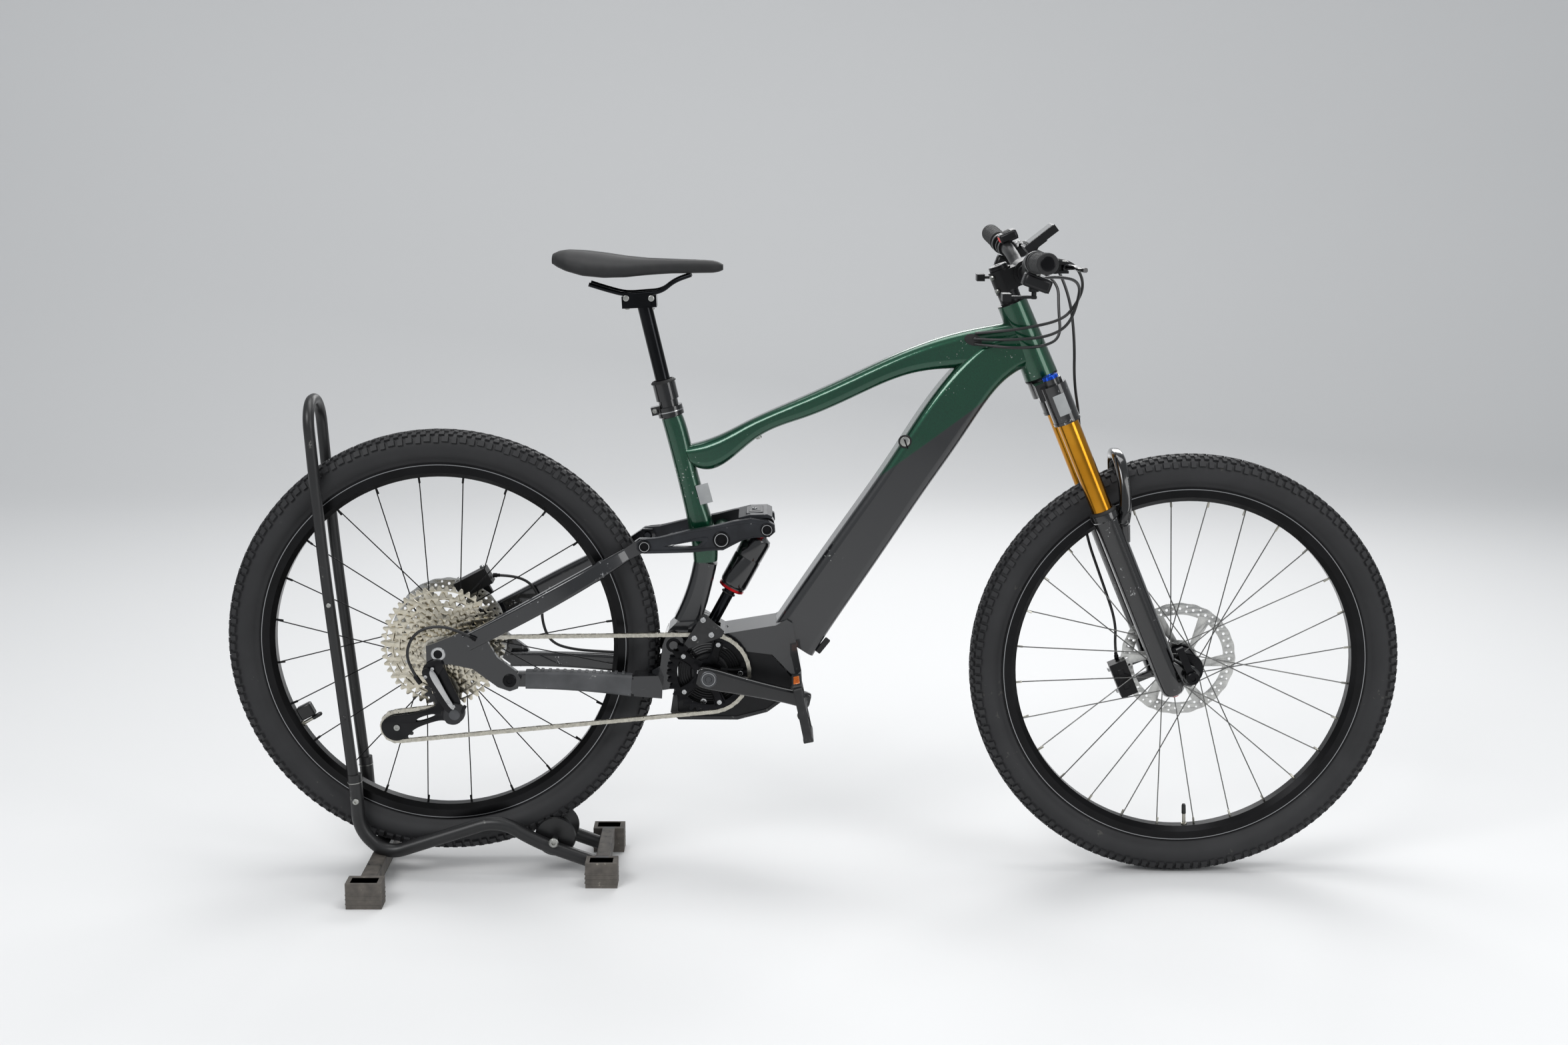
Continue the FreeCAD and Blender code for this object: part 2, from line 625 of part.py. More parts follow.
links = [chain_run("top_run", Vector(top_ring.x, RING_Y, top_ring.z), Vector(top_cog.x, COG_Y, top_cog.z)),
         sector_between(COG, cog_r, top_cog, cog_exit, True),
         chain_run("short_run", cog_exit, upper_in),
         sector_between(UPPER, JOCKEY_PITCH, upper_in, upper_out, False),
         chain_run("cage_run", upper_out, lower_in),
         sector_between(LOWER, JOCKEY_PITCH, lower_in, lower_out, True),
         chain_run("lower_run", Vector(lower_out.x, COG_Y, lower_out.z),
                   Vector(ring_in.x, RING_Y, ring_in.z)),
         sector_between(RING, ring_r, ring_in, top_ring, True)]
chain_shape = links[0].multiFuse(links[1:])
node("chain", feature("chain_loop", chain_shape))

# ---------------------------------------------------------------- cranks and pedals
ring_half = 1.6
ring_disc = turned("ring_disc", RING, [(14.2, -ring_half), ("ring_root", -ring_half),
                                       ("ring_root", ring_half), (14.2, ring_half)])
ring_windows = [cylinder_across(f"ring_window_{i}", 13, 12,
                                RING + Vector(math.cos(a) * 42, 0, math.sin(a) * 42))
                for i, a in enumerate(2 * math.pi * k / 5 + 0.3 for k in range(5))]
node("chainring", cut("chainring_cut", ring_disc, *ring_windows))

CRANK_LEAN = math.atan2(336 - CRANK[1], 615 - CRANK[0])
ARM_DIR = Vector(math.cos(CRANK_LEAN), 0, math.sin(CRANK_LEAN))
crank_arms = [cylinder_across("spindle", 14, 160, rear(*CRANK))]
pedal_spots = []
for turn in (-1, 1):
    out = ARM_DIR * (-turn)
    boss = rear(*CRANK)
    end = boss + out * size("crank_length")
    pedal_spots.append(end)
    inner_y = 80
    arm = swept([(boss - out * 18 + Y_AXIS * (turn * (inner_y + 6)), 36, 14, 5),
                 (boss + out * 20 + Y_AXIS * (turn * (inner_y + 7)), 37, 15, 5),
                 (boss + out * 90 + Y_AXIS * (turn * (inner_y + 9)), 30, 15, 5),
                 (end + out * 14 + Y_AXIS * (turn * (inner_y + 12)), 27, 14, 5)])
    name = "right" if turn < 0 else "left"
    crank_arms.append(feature(f"arm_body_{name}", arm))
    crank_arms.append(cylinder(f"pedal_axle_{name}", 5, 78, end + Y_AXIS * (90 if turn > 0 else -168)))
node("crank_arms", fuse("crank_whole", *crank_arms))

for turn, place in zip((-1, 1), pedal_spots):
    name = "right" if turn < 0 else "left"
    low = 103 if turn > 0 else -103 - size("pedal_width")
    centre = place + Y_AXIS * (low + size("pedal_width") / 2)
    tilt = -78
    frame_block = box(f"pedal_block_{name}", "pedal_length", "pedal_width", "pedal_thickness", centre, tilt)
    turnings = Rotation(Y_AXIS, -tilt)
    holes = [box(f"pedal_hole_{name}_{k}", 26, "pedal_width - 34", 40,
                 centre + turnings.multVec(Vector(k * 28, 0, 0)), tilt)
             for k in (-1, 1)]
    bore = cylinder(f"pedal_bore_{name}", "5 + running_fit", 78, place + Y_AXIS * (90 if turn > 0 else -168))
    node(f"pedal_{name}", cut(f"pedal_cut_{name}", frame_block, bore, *holes))

# ---------------------------------------------------------------- frame
WALL = size("frame_wall")


def hollow(name, sections, *tools, wall=WALL):
    """Tube through its sections, hollow inside, trimmed by its neighbours."""
    shell = feature(name + "_outer", swept(sections))
    core = feature(name + "_core", swept(sections, wall))
    return cut(name, shell, core, *tools)


head_low = RACE + 1.0
head_high = 702
head_solid = cone("head_solid", 29, 25.5, f"{head_high} - {head_low}", steer(head_low), UP)
head_bore = cylinder("head_bore", 19, 300, steer(head_low - 60), UP)
top_sections = [(rear(422, 740), 34, 38, 12), (rear(530, 784), 33, 39, 13), (rear(613, 821), 34, 40, 13),
                (rear(700, 860), 36, 42, 14), (front(496, 898), 40, 44, 15), (front(436, 915), 52, 46, 16),
                (front(372, 926), 64, 47, 16), (front(300, 938), 70, 44, 16)]
head_tube = cut("head_tube_bored", head_solid, head_bore)
SEAT_SECTIONS = [(rear(394, 806), 36, 36, 15), (rear(412, 740), 37, 38, 16), (rear(430, 668), 38, 41, 16),
                 (rear(447, 600), 44, 45, 15), (rear(451, 556), 41, 45, 14), (rear(438, 502), 41, 46, 12),
                 (rear(420, 450), 48, 52, 10)]
seat_cut = feature("seat_outer_copy", swept(SEAT_SECTIONS[:5]))
top_tube = hollow("top_tube_shell", top_sections, head_solid, seat_cut)
node("front_frame", fuse("front_frame_whole", head_tube, top_tube))

down_sections = [(rear(600, 417), 86, 74, 14), (rear(656, 504), 84, "down_tube_width", 14),
                 (front(554, 610), 82, "down_tube_width", 14), (front(483, 717), 80, "down_tube_width", 14),
                 (front(397, 846), 80, 66, 14), (front(350, 898), 74, 54, 14), (front(292, 930), 70, 46, 14)]
down_sections = [(c, d, size(w), r) for c, d, w, r in down_sections]
pack_sections = [(rear(616, 441), 60, 62, 8), (rear(656, 504), 62, 62, 8), (front(554, 610), 62, 62, 8),
                 (front(483, 717), 62, 62, 8), (front(439, 783), 56, 56, 8)]


def cover_sections(shrink):
    """Lower face of the down tube, where the pack's cover closes the opening."""
    places = (rear(653, 437), rear(689, 491), front(521, 588), front(450, 695), front(406, 761))
    return [(place, 44 - shrink, 50 - shrink, 4) for place in places]


cover_shell = feature("cover_zone", swept(cover_sections(0)))
down_tube = hollow("down_tube_shell", down_sections, head_solid,
                   feature("top_outer_copy", swept(top_sections)), cover_shell)
node("down_tube", down_tube)
battery_core = feature("battery_core", swept(pack_sections))
down_outer = feature("down_outer_copy", swept(down_sections))
cover_inside = doc.addObject("Part::MultiCommon", "cover_inside")
cover_inside.Shapes = [feature("cover_inner_zone", swept(cover_sections(0.6))), down_outer]
node("battery", fuse("battery_whole", battery_core, cover_inside))

barrel = cylinder_across("rocker_barrel", 16, "2 * rocker_inner - 2 * gap", rear(*ROCKER))
rocker_pin = cylinder_across("rocker_pin", "pivot_radius", "2 * rocker_inner + 2 * rocker_thickness",
                             rear(*ROCKER))
cradle_outline = [(422, 446), (446, 460), (484, 437), (572, 452), (590, 462), (600, 456), (616, 372),
                  (604, 360),
                  (566, 400), (470, 412), (436, 400), (420, 420)]
cradle = plate("cradle", cradle_outline, "cradle_width", "-cradle_width / 2")
lug = plate("pivot_lug", [(385, 404), (379, 420), (388, 440), (402, 454), (440, 456), (440, 402), (424, 400),
                          (404, 399)],
            "lug_width", "-lug_width / 2")
main_pin = cylinder_across("main_pin", "pivot_radius", "lug_width + 2 * ear_thickness + 6", rear(*MAIN))
shock_line = rear(*KNUCKLE) - rear(*SHOCK_EYE)
shock_dir = Vector(shock_line).normalize()
shock_well = cylinder("shock_well", "can_radius + 5", 120, rear(*SHOCK_EYE) + shock_dir * 14, shock_dir)
eye_well = cylinder_across("eye_well", 20, 27, rear(*SHOCK_EYE))
eye_pin = cylinder_across("eye_pin", 4, 50, rear(*SHOCK_EYE))
down_tube_copy = feature("down_tube_copy", swept(down_sections))
POST = Vector(-0.232, 0, 0.9727)
post_foot = rear(394, 806)
post_bore = cylinder("post_bore", "dropper_radius + 4", 150, post_foot - POST * 110, POST)
seat_shell = hollow("seat_shell", SEAT_SECTIONS[:5], post_bore)
seat_foot = feature("seat_foot", swept(SEAT_SECTIONS[4:]))
seat_whole = cut("seat_whole", fuse("seat_parts", seat_shell, seat_foot, barrel, cradle, lug), shock_well,
                 eye_well, down_tube_copy)
node("seat_tube", fuse("seat_tube_whole", seat_whole, rocker_pin, main_pin, eye_pin))

DRIVE = [(404, 300), (414, 290), (505, 290), (556, 303), (594, 332), (603, 355), (564, 399.5), (470, 411.5),
         (437, 399.5), (425, 392), (404, 380)]
drive_block = plate("drive_block", DRIVE, 84, -42)
spindle_space = cylinder_across("spindle_space", "14 + running_fit", 200, rear(*CRANK))
housing = cylinder_across("spindle_housing", 24, 100, rear(*CRANK))
node("drive_unit", cut("drive_cut", fuse("drive_whole", drive_block, housing), spindle_space))
COVER = [(396, 330), (391, 297), (405, 284), (507, 284), (558, 298), (598, 328), (617, 358), (611, 364),
         (603, 355),
         (594, 332), (556, 303), (505, 290), (414, 290), (404, 300), (403, 330)]
cover_plate = plate("motor_skid", COVER, 88, -44)
guide_plate = plate("guide_plate", [(449, 478), (416, 424), (424, 416), (480, 436), (484, 446)], 3, -64)
guide_arm = box("guide_arm", 16, 18, 14, rear(449, 462, -53))
node("motor_cover", group("motor_cover_set", cut("skid_trim", cover_plate, down_tube_copy),
                          cut("guide_trim", fuse("guide_whole", guide_plate, guide_arm), cradle)))

# ---------------------------------------------------------------- rocker and shock
ARM_OUTLINE = [(343, 580), (358, 580), (430, 582), (462, 586), (482, 586), (500, 596), (520, 606),
               (540, 610),
               (560, 609), (570, 618), (569, 630), (558, 637), (528, 641), (500, 636), (470, 628),
               (420, 619),
               (370, 606), (344, 604), (336, 598), (336, 587)]
rocker_parts = []
for turn in (-1, 1):
    name = "right" if turn < 0 else "left"
    low = "rocker_inner" if turn > 0 else "-rocker_inner - rocker_thickness"
    rocker_parts.append(plate(f"rocker_arm_{name}", ARM_OUTLINE, "rocker_thickness", low))
rocker_parts.append(plate("rocker_bridge", [(512, 634), (530, 638), (557, 639.5), (563, 638), (565, 642),
                                            (556, 646), (528, 645), (508, 640)], "2 * rocker_inner",
                          "-rocker_inner"))
windows = [plate(f"rocker_window_{i}", [(380, 592), (452, 606), (438, 591)], 40, y) for i,
           y in enumerate((-70, 30))]
rocker_bore = cylinder_across("rocker_bore", "pivot_radius + running_fit", 200, rear(*ROCKER))
rocker_cut = cut("rocker_cut", fuse("rocker_whole", *rocker_parts), rocker_bore, *windows)
stay_pins = [cylinder(f"stay_pin_{i}", "pivot_radius - 2.5", f"rocker_thickness + {stay_thickness} + 2",
                      rear(*STAY, y))
             for i, y in enumerate((-58, 34))]
knuckle_pin = cylinder_across("knuckle_pin", 5, "2 * rocker_inner + rocker_thickness", rear(*KNUCKLE))
node("rocker_link", fuse("rocker_with_pins", rocker_cut, knuckle_pin, *stay_pins))

EYE = rear(*SHOCK_EYE)
can_start = size("shock_length") - 22 - size("can_length")
can = cylinder("can", "can_radius", "can_length", EYE + shock_dir * can_start, shock_dir)
can_eye = cylinder_across("can_eye", 13, 24, EYE + shock_dir * size("shock_length"))
can_neck = cylinder("can_neck", 11, 16, EYE + shock_dir * (size("shock_length") - 24), shock_dir)
can_bore = cylinder("can_bore", "shaft_radius + running_fit", "can_length - 8",
                    EYE + shock_dir * (can_start - 1), shock_dir)
can_slot = cylinder_across("can_slot", "5 + link_slip", 60, EYE + shock_dir * size("shock_length"))
node("shock_air_can", cut("can_cut", fuse("can_whole", can, can_eye, can_neck), can_bore, can_slot))
shaft = cylinder("shaft", "shaft_radius", f"{can_start} + 30", EYE + shock_dir * 9, shock_dir)
shaft_eye = cylinder_across("shaft_eye", 12, 24, EYE)
node("shock_shaft", cut("shaft_cut", fuse("shaft_whole", shaft, shaft_eye),
                        cylinder_across("shaft_eye_bore", "4 + running_fit", 60, EYE)))

# ---------------------------------------------------------------- seat post and saddle
collar = cylinder("collar", "dropper_radius + 4", 150, post_foot - POST * 92, POST)
collar_head = cylinder("collar_head", "dropper_radius + 7", 30, post_foot + POST * 30, POST)
clamp_ring = cylinder("clamp_ring", 22, 16, post_foot - POST * 4 + POST * 6, POST)
clamp_lug = box("clamp_lug", 16, 16, 14, post_foot + POST * 10 - Vector(24, 0, 0), 13)
post_space = cylinder("post_space", "dropper_radius + running_fit", 400, post_foot - POST * 150, POST)
node("dropper_outer", cut("dropper_outer_cut", fuse("dropper_outer_whole", collar, collar_head, clamp_ring,
                                                    clamp_lug), post_space))
HEAD_POINT = rear(346, 994)
post_length = (HEAD_POINT - post_foot).Length
stanchion = cylinder("post_stanchion", "dropper_radius", f"{post_length} + 60", post_foot - POST * 60, POST)
post_axis_top = post_foot + POST * post_length
head_block = box("head_block", 58, 34, 20, post_axis_top + Vector(-8, 0, 6), 3)
rail_clamps = [box(f"rail_clamp_{i}", 40, 12, 20, post_axis_top + Vector(-8, y, 10), 3) for i,
               y in enumerate((-22, 22))]
rail_route = [(258, 1030), (284, 1022), (318, 1013), (378, 1018), (400, 1036), (428, 1046)]
rail_shapes = [feature(f"saddle_rail_{i}", tube([rear(x, z, y if x < 390 else y * 0.6) for x,
                                                 z in rail_route], 3.5)[0])
               for i, y in enumerate((-22, 22))]
node("saddle_rails", group("saddle_rail_pair", *rail_shapes))
node("dropper_stanchion", cut("post_cut", fuse("post_whole", stanchion, head_block, *rail_clamps),
                              *rail_shapes))

saddle_sections = [(rear(200, 1072), 16, 90, 7), (rear(220, 1071), 26, 128, 12),
                   (rear(262, 1065), 34, "saddle_width", 15),
                   (rear(310, 1057), 34, 112, 15), (rear(360, 1059), 26, 70, 12),
                   (rear(420, 1059), 24, 48, 11),
                   (rear(468, 1059), 22, 38, 10), (rear(478, 1058), 12, 26, 5)]
saddle_solid = feature("saddle_solid", swept([(c, d, size(w), r) for c, d, w, r in saddle_sections]))
node("saddle", cut("saddle_cut", saddle_solid, *rail_shapes))

# ---------------------------------------------------------------- fork
LEG = size("leg_spacing") / 2
LEG_AHEAD = size("leg_ahead")
crown_bar = box("crown_bar", 46, "leg_spacing", 30, steer(RACE - 17, 2), 90 - size("head_angle"))
crown_boss = cylinder("crown_boss", 27, 32, steer(RACE - 32), UP)
crown_sockets = [cylinder(f"crown_socket_{i}", 22.5, 68, steer(RACE - 78, LEG_AHEAD, y), UP) for i,
                 y in enumerate((-LEG, LEG))]
stem_low = head_high + 20
steerer = cylinder("steerer", "steerer_radius", f"{stem_low + 40 - RACE} + 2", steer(RACE - 2), UP)
leg_tops = [cylinder(f"leg_top_{i}", "stanchion_radius", 80, steer(RACE - 92, LEG_AHEAD, y), UP) for i,
            y in enumerate((-LEG, LEG))]
wheel_clear = cylinder_across("wheel_clear", "tyre_radius + 1.5", 84, FRONT_AXLE + UP * size("fork_travel"))
dial = cylinder("dial", 13, 10, steer(RACE - 10, LEG_AHEAD, -LEG), UP)
cap = cylinder("cap", 13, 6, steer(RACE - 10, LEG_AHEAD, LEG), UP)
crown_solid = fuse("crown_solid", crown_bar, crown_boss, steerer, dial, cap, *crown_sockets)
node("fork_crown", cut("crown_cut", crown_solid, wheel_clear, *leg_tops))

stanchion_foot = 172
legs = []
for i, y in enumerate((-LEG, LEG)):
    outside = cylinder(f"stanchion_{i}", "stanchion_radius", RACE - 12 - stanchion_foot,
                       steer(stanchion_foot, LEG_AHEAD, y), UP)
    inside = cylinder(f"stanchion_hollow_{i}", "stanchion_radius - stanchion_wall",
                      RACE - 30 - stanchion_foot,
                      steer(stanchion_foot - 1, LEG_AHEAD, y), UP)
    legs.append(cut(f"stanchion_tube_{i}", outside, inside))
node("fork_stanchions", group("stanchion_pair", *legs))

WIPER = 325
half_front = size("front_hub_width") / 2
lower_parts = []
lower_bores = []
for i, y in enumerate((-LEG, LEG)):
    lower_parts.append(cone(f"lower_{i}", "lower_radius - 1", "lower_radius", WIPER + 22 - 6,
                            steer(-22, LEG_AHEAD, y), UP))
    lower_parts.append(cylinder(f"wiper_{i}", "lower_radius + 2.5", 14, steer(WIPER - 14, LEG_AHEAD, y), UP))
    lower_bores.append(cylinder(f"lower_bore_{i}", "stanchion_radius + running_fit", WIPER,
                                steer(8, LEG_AHEAD, y), UP))
    sign = -1 if y < 0 else 1
    lower_parts.append(box(f"leg_foot_{i}", 58, 20, 36, steer(0, 26, sign * (half_front + 10)),
                           90 - size("head_angle")))
arch_points = [steer(WIPER - 60, 22, -LEG), steer(WIPER - 10, 44, -LEG), steer(WIPER + 66, 68, -36),
               steer(WIPER + 66, 68, 36), steer(WIPER - 10, 44, LEG), steer(WIPER - 60, 22, LEG)]
arch = feature("arch", tube(arch_points, 10)[0])
caliper_mount = box("caliper_mount", 40, 12, 22, steer(22, LEG_AHEAD - 30, LEG - 8), 90 - size("head_angle"))
tyre_clear = cylinder_across("tyre_clear", "tyre_radius + 5", "tyre_width + 12", FRONT_AXLE)
axle_space = cylinder_across("axle_space", "axle_radius + running_fit", 200, FRONT_AXLE)
node("fork_lowers", cut("lowers_cut", fuse("lowers_whole", arch, caliper_mount, *lower_parts), *lower_bores,
                        tyre_clear, axle_space))
lever_turn = math.radians(115)
LEVER_DIR = Vector(math.cos(lever_turn), 0, math.sin(lever_turn))
axle_head = -half_front - 20
node("front_axle", fuse("front_axle_whole",
                        cylinder("front_axle_pin", "axle_radius", "front_hub_width + 40",
                                 FRONT_AXLE + Y_AXIS * axle_head),
                        cylinder("front_axle_head", 9, 12, FRONT_AXLE + Y_AXIS * (axle_head - 12)),
                        box("axle_lever", 66, 8, 12, FRONT_AXLE + Vector(0, axle_head - 8,
                                                                         0) + LEVER_DIR * 24, 115)))
caliper_turn = 90 - size("head_angle")
front_slot = cylinder_across("front_caliper_slot", "rotor_radius + 3",
                             f"rotor_thickness + {2 * CALIPER_GAP}",
                             FRONT_AXLE + Y_AXIS * 41)
front_caliper_body = box("front_caliper_body", 30, 29.5, 64, steer(6, -58, 41.5), caliper_turn)
caliper_trim = cylinder_across("caliper_trim", "rotor_radius - 22", 60, FRONT_AXLE + Y_AXIS * 41)
node("front_caliper", cut("front_caliper_cut", front_caliper_body, front_slot, caliper_trim, caliper_mount,
                          cylinder("caliper_leg_clear", "lower_radius + 0.5", 200,
                                   steer(-60, LEG_AHEAD, LEG), UP)))

# ---------------------------------------------------------------- cockpit
BAR = steer(stem_low + 20, 38)
stem_parts = [cylinder("stem_clamp", 19.5, 40, steer(stem_low), UP),
              cylinder("stem_cap", 16, 4, steer(stem_low + 40.2), UP),
              cylinder("spacers", 18, stem_low - head_high - 0.6, steer(head_high + 0.5), UP),
              cylinder_across("bar_clamp", 21, 52, BAR),
              box("stem_web", 40, 40, 34, steer(stem_low + 20, 20), 90 - size("head_angle"))]
steerer_space = cylinder("steerer_space", "steerer_radius", 42.1 + stem_low - head_high,
                         steer(head_high - 2), UP)
bar_space = cylinder_across("bar_space", "bar_clamp_radius", 60, BAR)
node("stem", cut("stem_cut", fuse("stem_whole", *stem_parts), steerer_space, bar_space))

half_bar = size("bar_width") / 2
END_RISE = Vector(-15, 0, 41)
BEND_IN = 55
BEND_OUT = 125


def bar_at(y, along=0.0):
    """Centre of the bar at a distance from the middle: level clamp, rising bend, swept-back end."""
    reach = abs(y)
    if reach <= BEND_IN:
        share = 0.0
    elif reach <= BEND_OUT:
        share = 0.62 * (reach - BEND_IN) / (BEND_OUT - BEND_IN)
    else:
        share = 0.62 + 0.38 * (reach - BEND_OUT) / (half_bar - BEND_OUT)
    return BAR + END_RISE * share + Y_AXIS * y + AHEAD * along


bar_route = [bar_at(y) for y in (-half_bar, -BEND_OUT, -BEND_IN, BEND_IN, BEND_OUT, half_bar)]
bar_tube = feature("bar_tube", tube(bar_route, size("bar_radius"))[0])
bar_sleeve = cylinder_across("bar_sleeve", "bar_clamp_radius", 84, BAR)
bar_solid = fuse("bar_solid", bar_tube, bar_sleeve)
bore_points = [bar_at(-half_bar - 1)] + bar_route[1:-1] + [bar_at(half_bar + 1)]
node("handlebar", cut("bar_cut", bar_solid, feature("bar_bore",
                                                    tube(bore_points, size("bar_radius") - 2)[0])))

controls = []
grips = []
for turn in (-1, 1):
    name = "right" if turn < 0 else "left"
    outer = bar_at(turn * half_bar)
    inner = bar_at(turn * BEND_OUT)
    lean = (outer - inner).normalize()
    start = outer - lean * (size("grip_length") - 3)
    sleeve_part = cylinder(f"grip_sleeve_{name}", "grip_radius", "grip_length", start, lean)
    ring_part = cylinder(f"grip_ring_{name}", "grip_radius + 2", 9, start, lean)
    hole = cylinder(f"grip_hole_{name}", "bar_radius", "grip_length - 3", start, lean)
    grips.append(cut(f"grip_{name}", fuse(f"grip_whole_{name}", sleeve_part, ring_part), hole))
    perch = start - lean * 34
    perch_ring = cylinder(f"perch_ring_{name}", 17, 14, perch, lean)
    master = cylinder(f"master_{name}", 10, 88, perch + Vector(27, 0, -6) - lean * 50,
                      (lean + Vector(0.05, 0, 0)).normalize())
    perch_arm = box(f"perch_arm_{name}", 22, 12, 14, perch + lean * 7 + Vector(19, 0, -4), -14)
    tank = box(f"pivot_block_{name}", 24, 18, 18, perch + lean * 24 + Vector(36, 0, -7), 0)
    fork_gap = box(f"pivot_gap_{name}", 22, 24, 10, perch + lean * 27 + Vector(43, 0, -7), 0)
    body = cut(f"brake_body_{name}", fuse(f"brake_whole_{name}", perch_ring, master, perch_arm, tank),
               fork_gap,
               cylinder(f"perch_hole_{name}", "bar_radius", 60, perch - lean * 20, lean))
    pin_spot = perch + lean * 26 + Vector(42, 0, -16)
    lever_pin = cylinder(f"lever_pin_{name}", 2.5, 18, pin_spot, Vector(0, 0, 1))
    controls.append(fuse(f"brake_{name}", body, lever_pin))
    root = pin_spot + Vector(0, 0, 9)
    blade_route = [root + Vector(2, 0, 0), root + lean * 30 + Vector(16, 0, -1),
                   root + lean * 62 + Vector(15, 0, -2),
                   root + lean * 92 + Vector(20, 0, -3)]
    blade = feature(f"blade_{name}", tube(blade_route, 4.2)[0])
    hub_part = cylinder(f"lever_hub_{name}", 6.5, 9, pin_spot + Vector(0, 0, 4.5), Vector(0, 0, 1))
    hub_bore = cylinder(f"lever_bore_{name}", "2.5 + running_fit", 30, pin_spot, Vector(0, 0, 1))
    node(f"brake_lever_{name}", cut(f"brake_lever_cut_{name}",
                                    fuse(f"brake_lever_whole_{name}", blade, hub_part), hub_bore))
    pod_at = perch - lean * 30
    pod_ring = cylinder(f"pod_ring_{name}", 15, 9, pod_at, lean)
    pod_body = box(f"pod_body_{name}", 44, 26 if turn < 0 else 18, 20, pod_at + Vector(6, 0, -32), -20)
    pod_post = cylinder(f"pod_post_{name}", 4, 18, pod_at + Vector(2, 0, -58), Vector(0, 0, 1))
    pod_neck = box(f"pod_neck_{name}", 12, 12, 26, pod_at + Vector(4, 0, -18))
    pod_hole = cylinder(f"pod_hole_{name}", "bar_radius", 60, pod_at - lean * 20, lean)
    controls.append(cut(f"pod_{name}", fuse(f"pod_whole_{name}", pod_ring, pod_neck, pod_body, pod_post),
                        pod_hole))
    paddle_at = pod_at + Vector(2, 0, -55)
    paddle_arm = box(f"paddle_arm_{name}", 46, 14, 4, paddle_at + Vector(-19, 0, 0), 0)
    paddle_pad = box(f"paddle_pad_{name}", 14, 26, 12, paddle_at + Vector(-44, 0, 0), 0)
    paddle_bore = cylinder(f"paddle_bore_{name}", "4 + running_fit", 40, paddle_at - Vector(0, 0, 20),
                           Vector(0, 0, 1))
    node("shift_paddle" if turn < 0 else "dropper_paddle",
         cut(f"paddle_{name}", fuse(f"paddle_whole_{name}", paddle_arm, paddle_pad), paddle_bore))
node("grips", group("grip_pair", *grips))
remote_at = bar_at(170)
remote_line = (bar_at(half_bar) - bar_at(BEND_OUT)).normalize()
remote = cut("remote", fuse("remote_whole", cylinder("remote_ring", 15, 12, remote_at, remote_line),
                            box("remote_body", 30, 40, 16, remote_at + Vector(2, 10, 20), 24)),
             cylinder("remote_hole", "bar_radius", 60, remote_at - remote_line * 20, remote_line))
node("bar_controls", group("bar_control_set", remote, *controls))
display_at = BAR + Vector(24, 0, 56)
display_foot = cut("display_foot", box("display_arm", 40, 16, 10, BAR + Vector(16, 34, 30), 62),
                   cylinder_across("display_arm_hole", "bar_clamp_radius", 100, BAR))
display_link = box("display_link", 30, 44, 8, BAR + Vector(22, 16, 46), 38)
node("display", fuse("display_whole", box("display_case", 62, 52, 13, display_at, 38), display_foot,
                     display_link))

# ---------------------------------------------------------------- cords
HOSE = 2.5
front_points = [bar_at(176.1, 27) + Vector(0, 0, -6), bar_at(140, 46) + Vector(0, 0, -14),
                bar_at(100, 76) + Vector(0, 0, -34),
                bar_at(40, 92) + Vector(0, 0, -84), steer(RACE + 30, 74, 6), steer(RACE - 40, 52, 46),
                steer(RACE - 110, 42, 88), steer(WIPER + 30, 6, 94), steer(WIPER - 60, -22, 90),
                steer(WIPER - 150, -26, 86), steer(WIPER - 230, -30, 76), steer(56, -50, 62),
                steer(40, -55.2, 45.2)]
node("front_brake_hose", feature("front_hose", cord("front_brake_hose", front_points, HOSE)))
rear_points = [bar_at(-175.5, 27) + Vector(0, 0, -6), bar_at(-140, 48) + Vector(0, 0, -14),
               bar_at(-100, 84) + Vector(0, 0, -30), bar_at(-54, 102) + Vector(0, 0, -58),
               bar_at(-27, 89) + Vector(0, 0, -92), front(238, 975, -40), front(300, 962, -43),
               front(345, 956, -37), front(378, 952, -26)]
stay_hose = [rear(330, 371.8, 67.4), rear(270, 374.6, 67.4), rear(212, 379, 67), rear(176, 392, 64),
             rear(162, 424, 62),
             rear(160, 462, 62), rear(146, 498, 64), rear(112, 514, 64), rear(76, 514, 62)]
hose_front = feature("rear_hose_front", cord("rear_brake_hose front", rear_points, HOSE))
hose_rear = feature("rear_hose_rear", cord("rear_brake_hose rear", stay_hose, HOSE))
node("rear_brake_hose", group("rear_hose_pair", hose_front, hose_rear))
shift_points = [bar_at(-182.8, 14) + Vector(0, 0, -32), bar_at(-148, 40) + Vector(0, 0, -38),
                bar_at(-88, 94) + Vector(0, 0, -56), bar_at(-36, 92) + Vector(0, 0, -90),
                front(226, 964, -36),
                front(262, 948, -46), front(312, 944, -45), front(350, 942, -38), front(380, 943, -25.6)]
drop_points = [bar_at(186.7, 14) + Vector(0, 0, -32), bar_at(148, 38) + Vector(0, 0, -42),
               bar_at(84, 80) + Vector(0, 0, -64), bar_at(34, 70) + Vector(0, 0, -96), front(232, 944, -10),
               front(264, 932, -40), front(310, 930, -49), front(348, 932, -41), front(378, 934, -25.6)]
loop_points = [rear(66, 437, -PLATE_OUT - 6.2), rear(36, 454, -PLATE_OUT - 8), rear(0, 462, -PLATE_OUT - 8),
               rear(-34, 452, -PLATE_OUT - 8), rear(-52, 422, -PLATE_OUT - 8),
               rear(-48, 388, -PLATE_OUT - 6),
               rear(-30, 360, -PLATE_OUT - 3)]
cables = [feature(f"cable_{i}", cord(f"control_cable {i}", points, HOSE))
          for i, points in enumerate((shift_points, drop_points, loop_points))]
node("control_cables", group("control_cable_set", *cables))

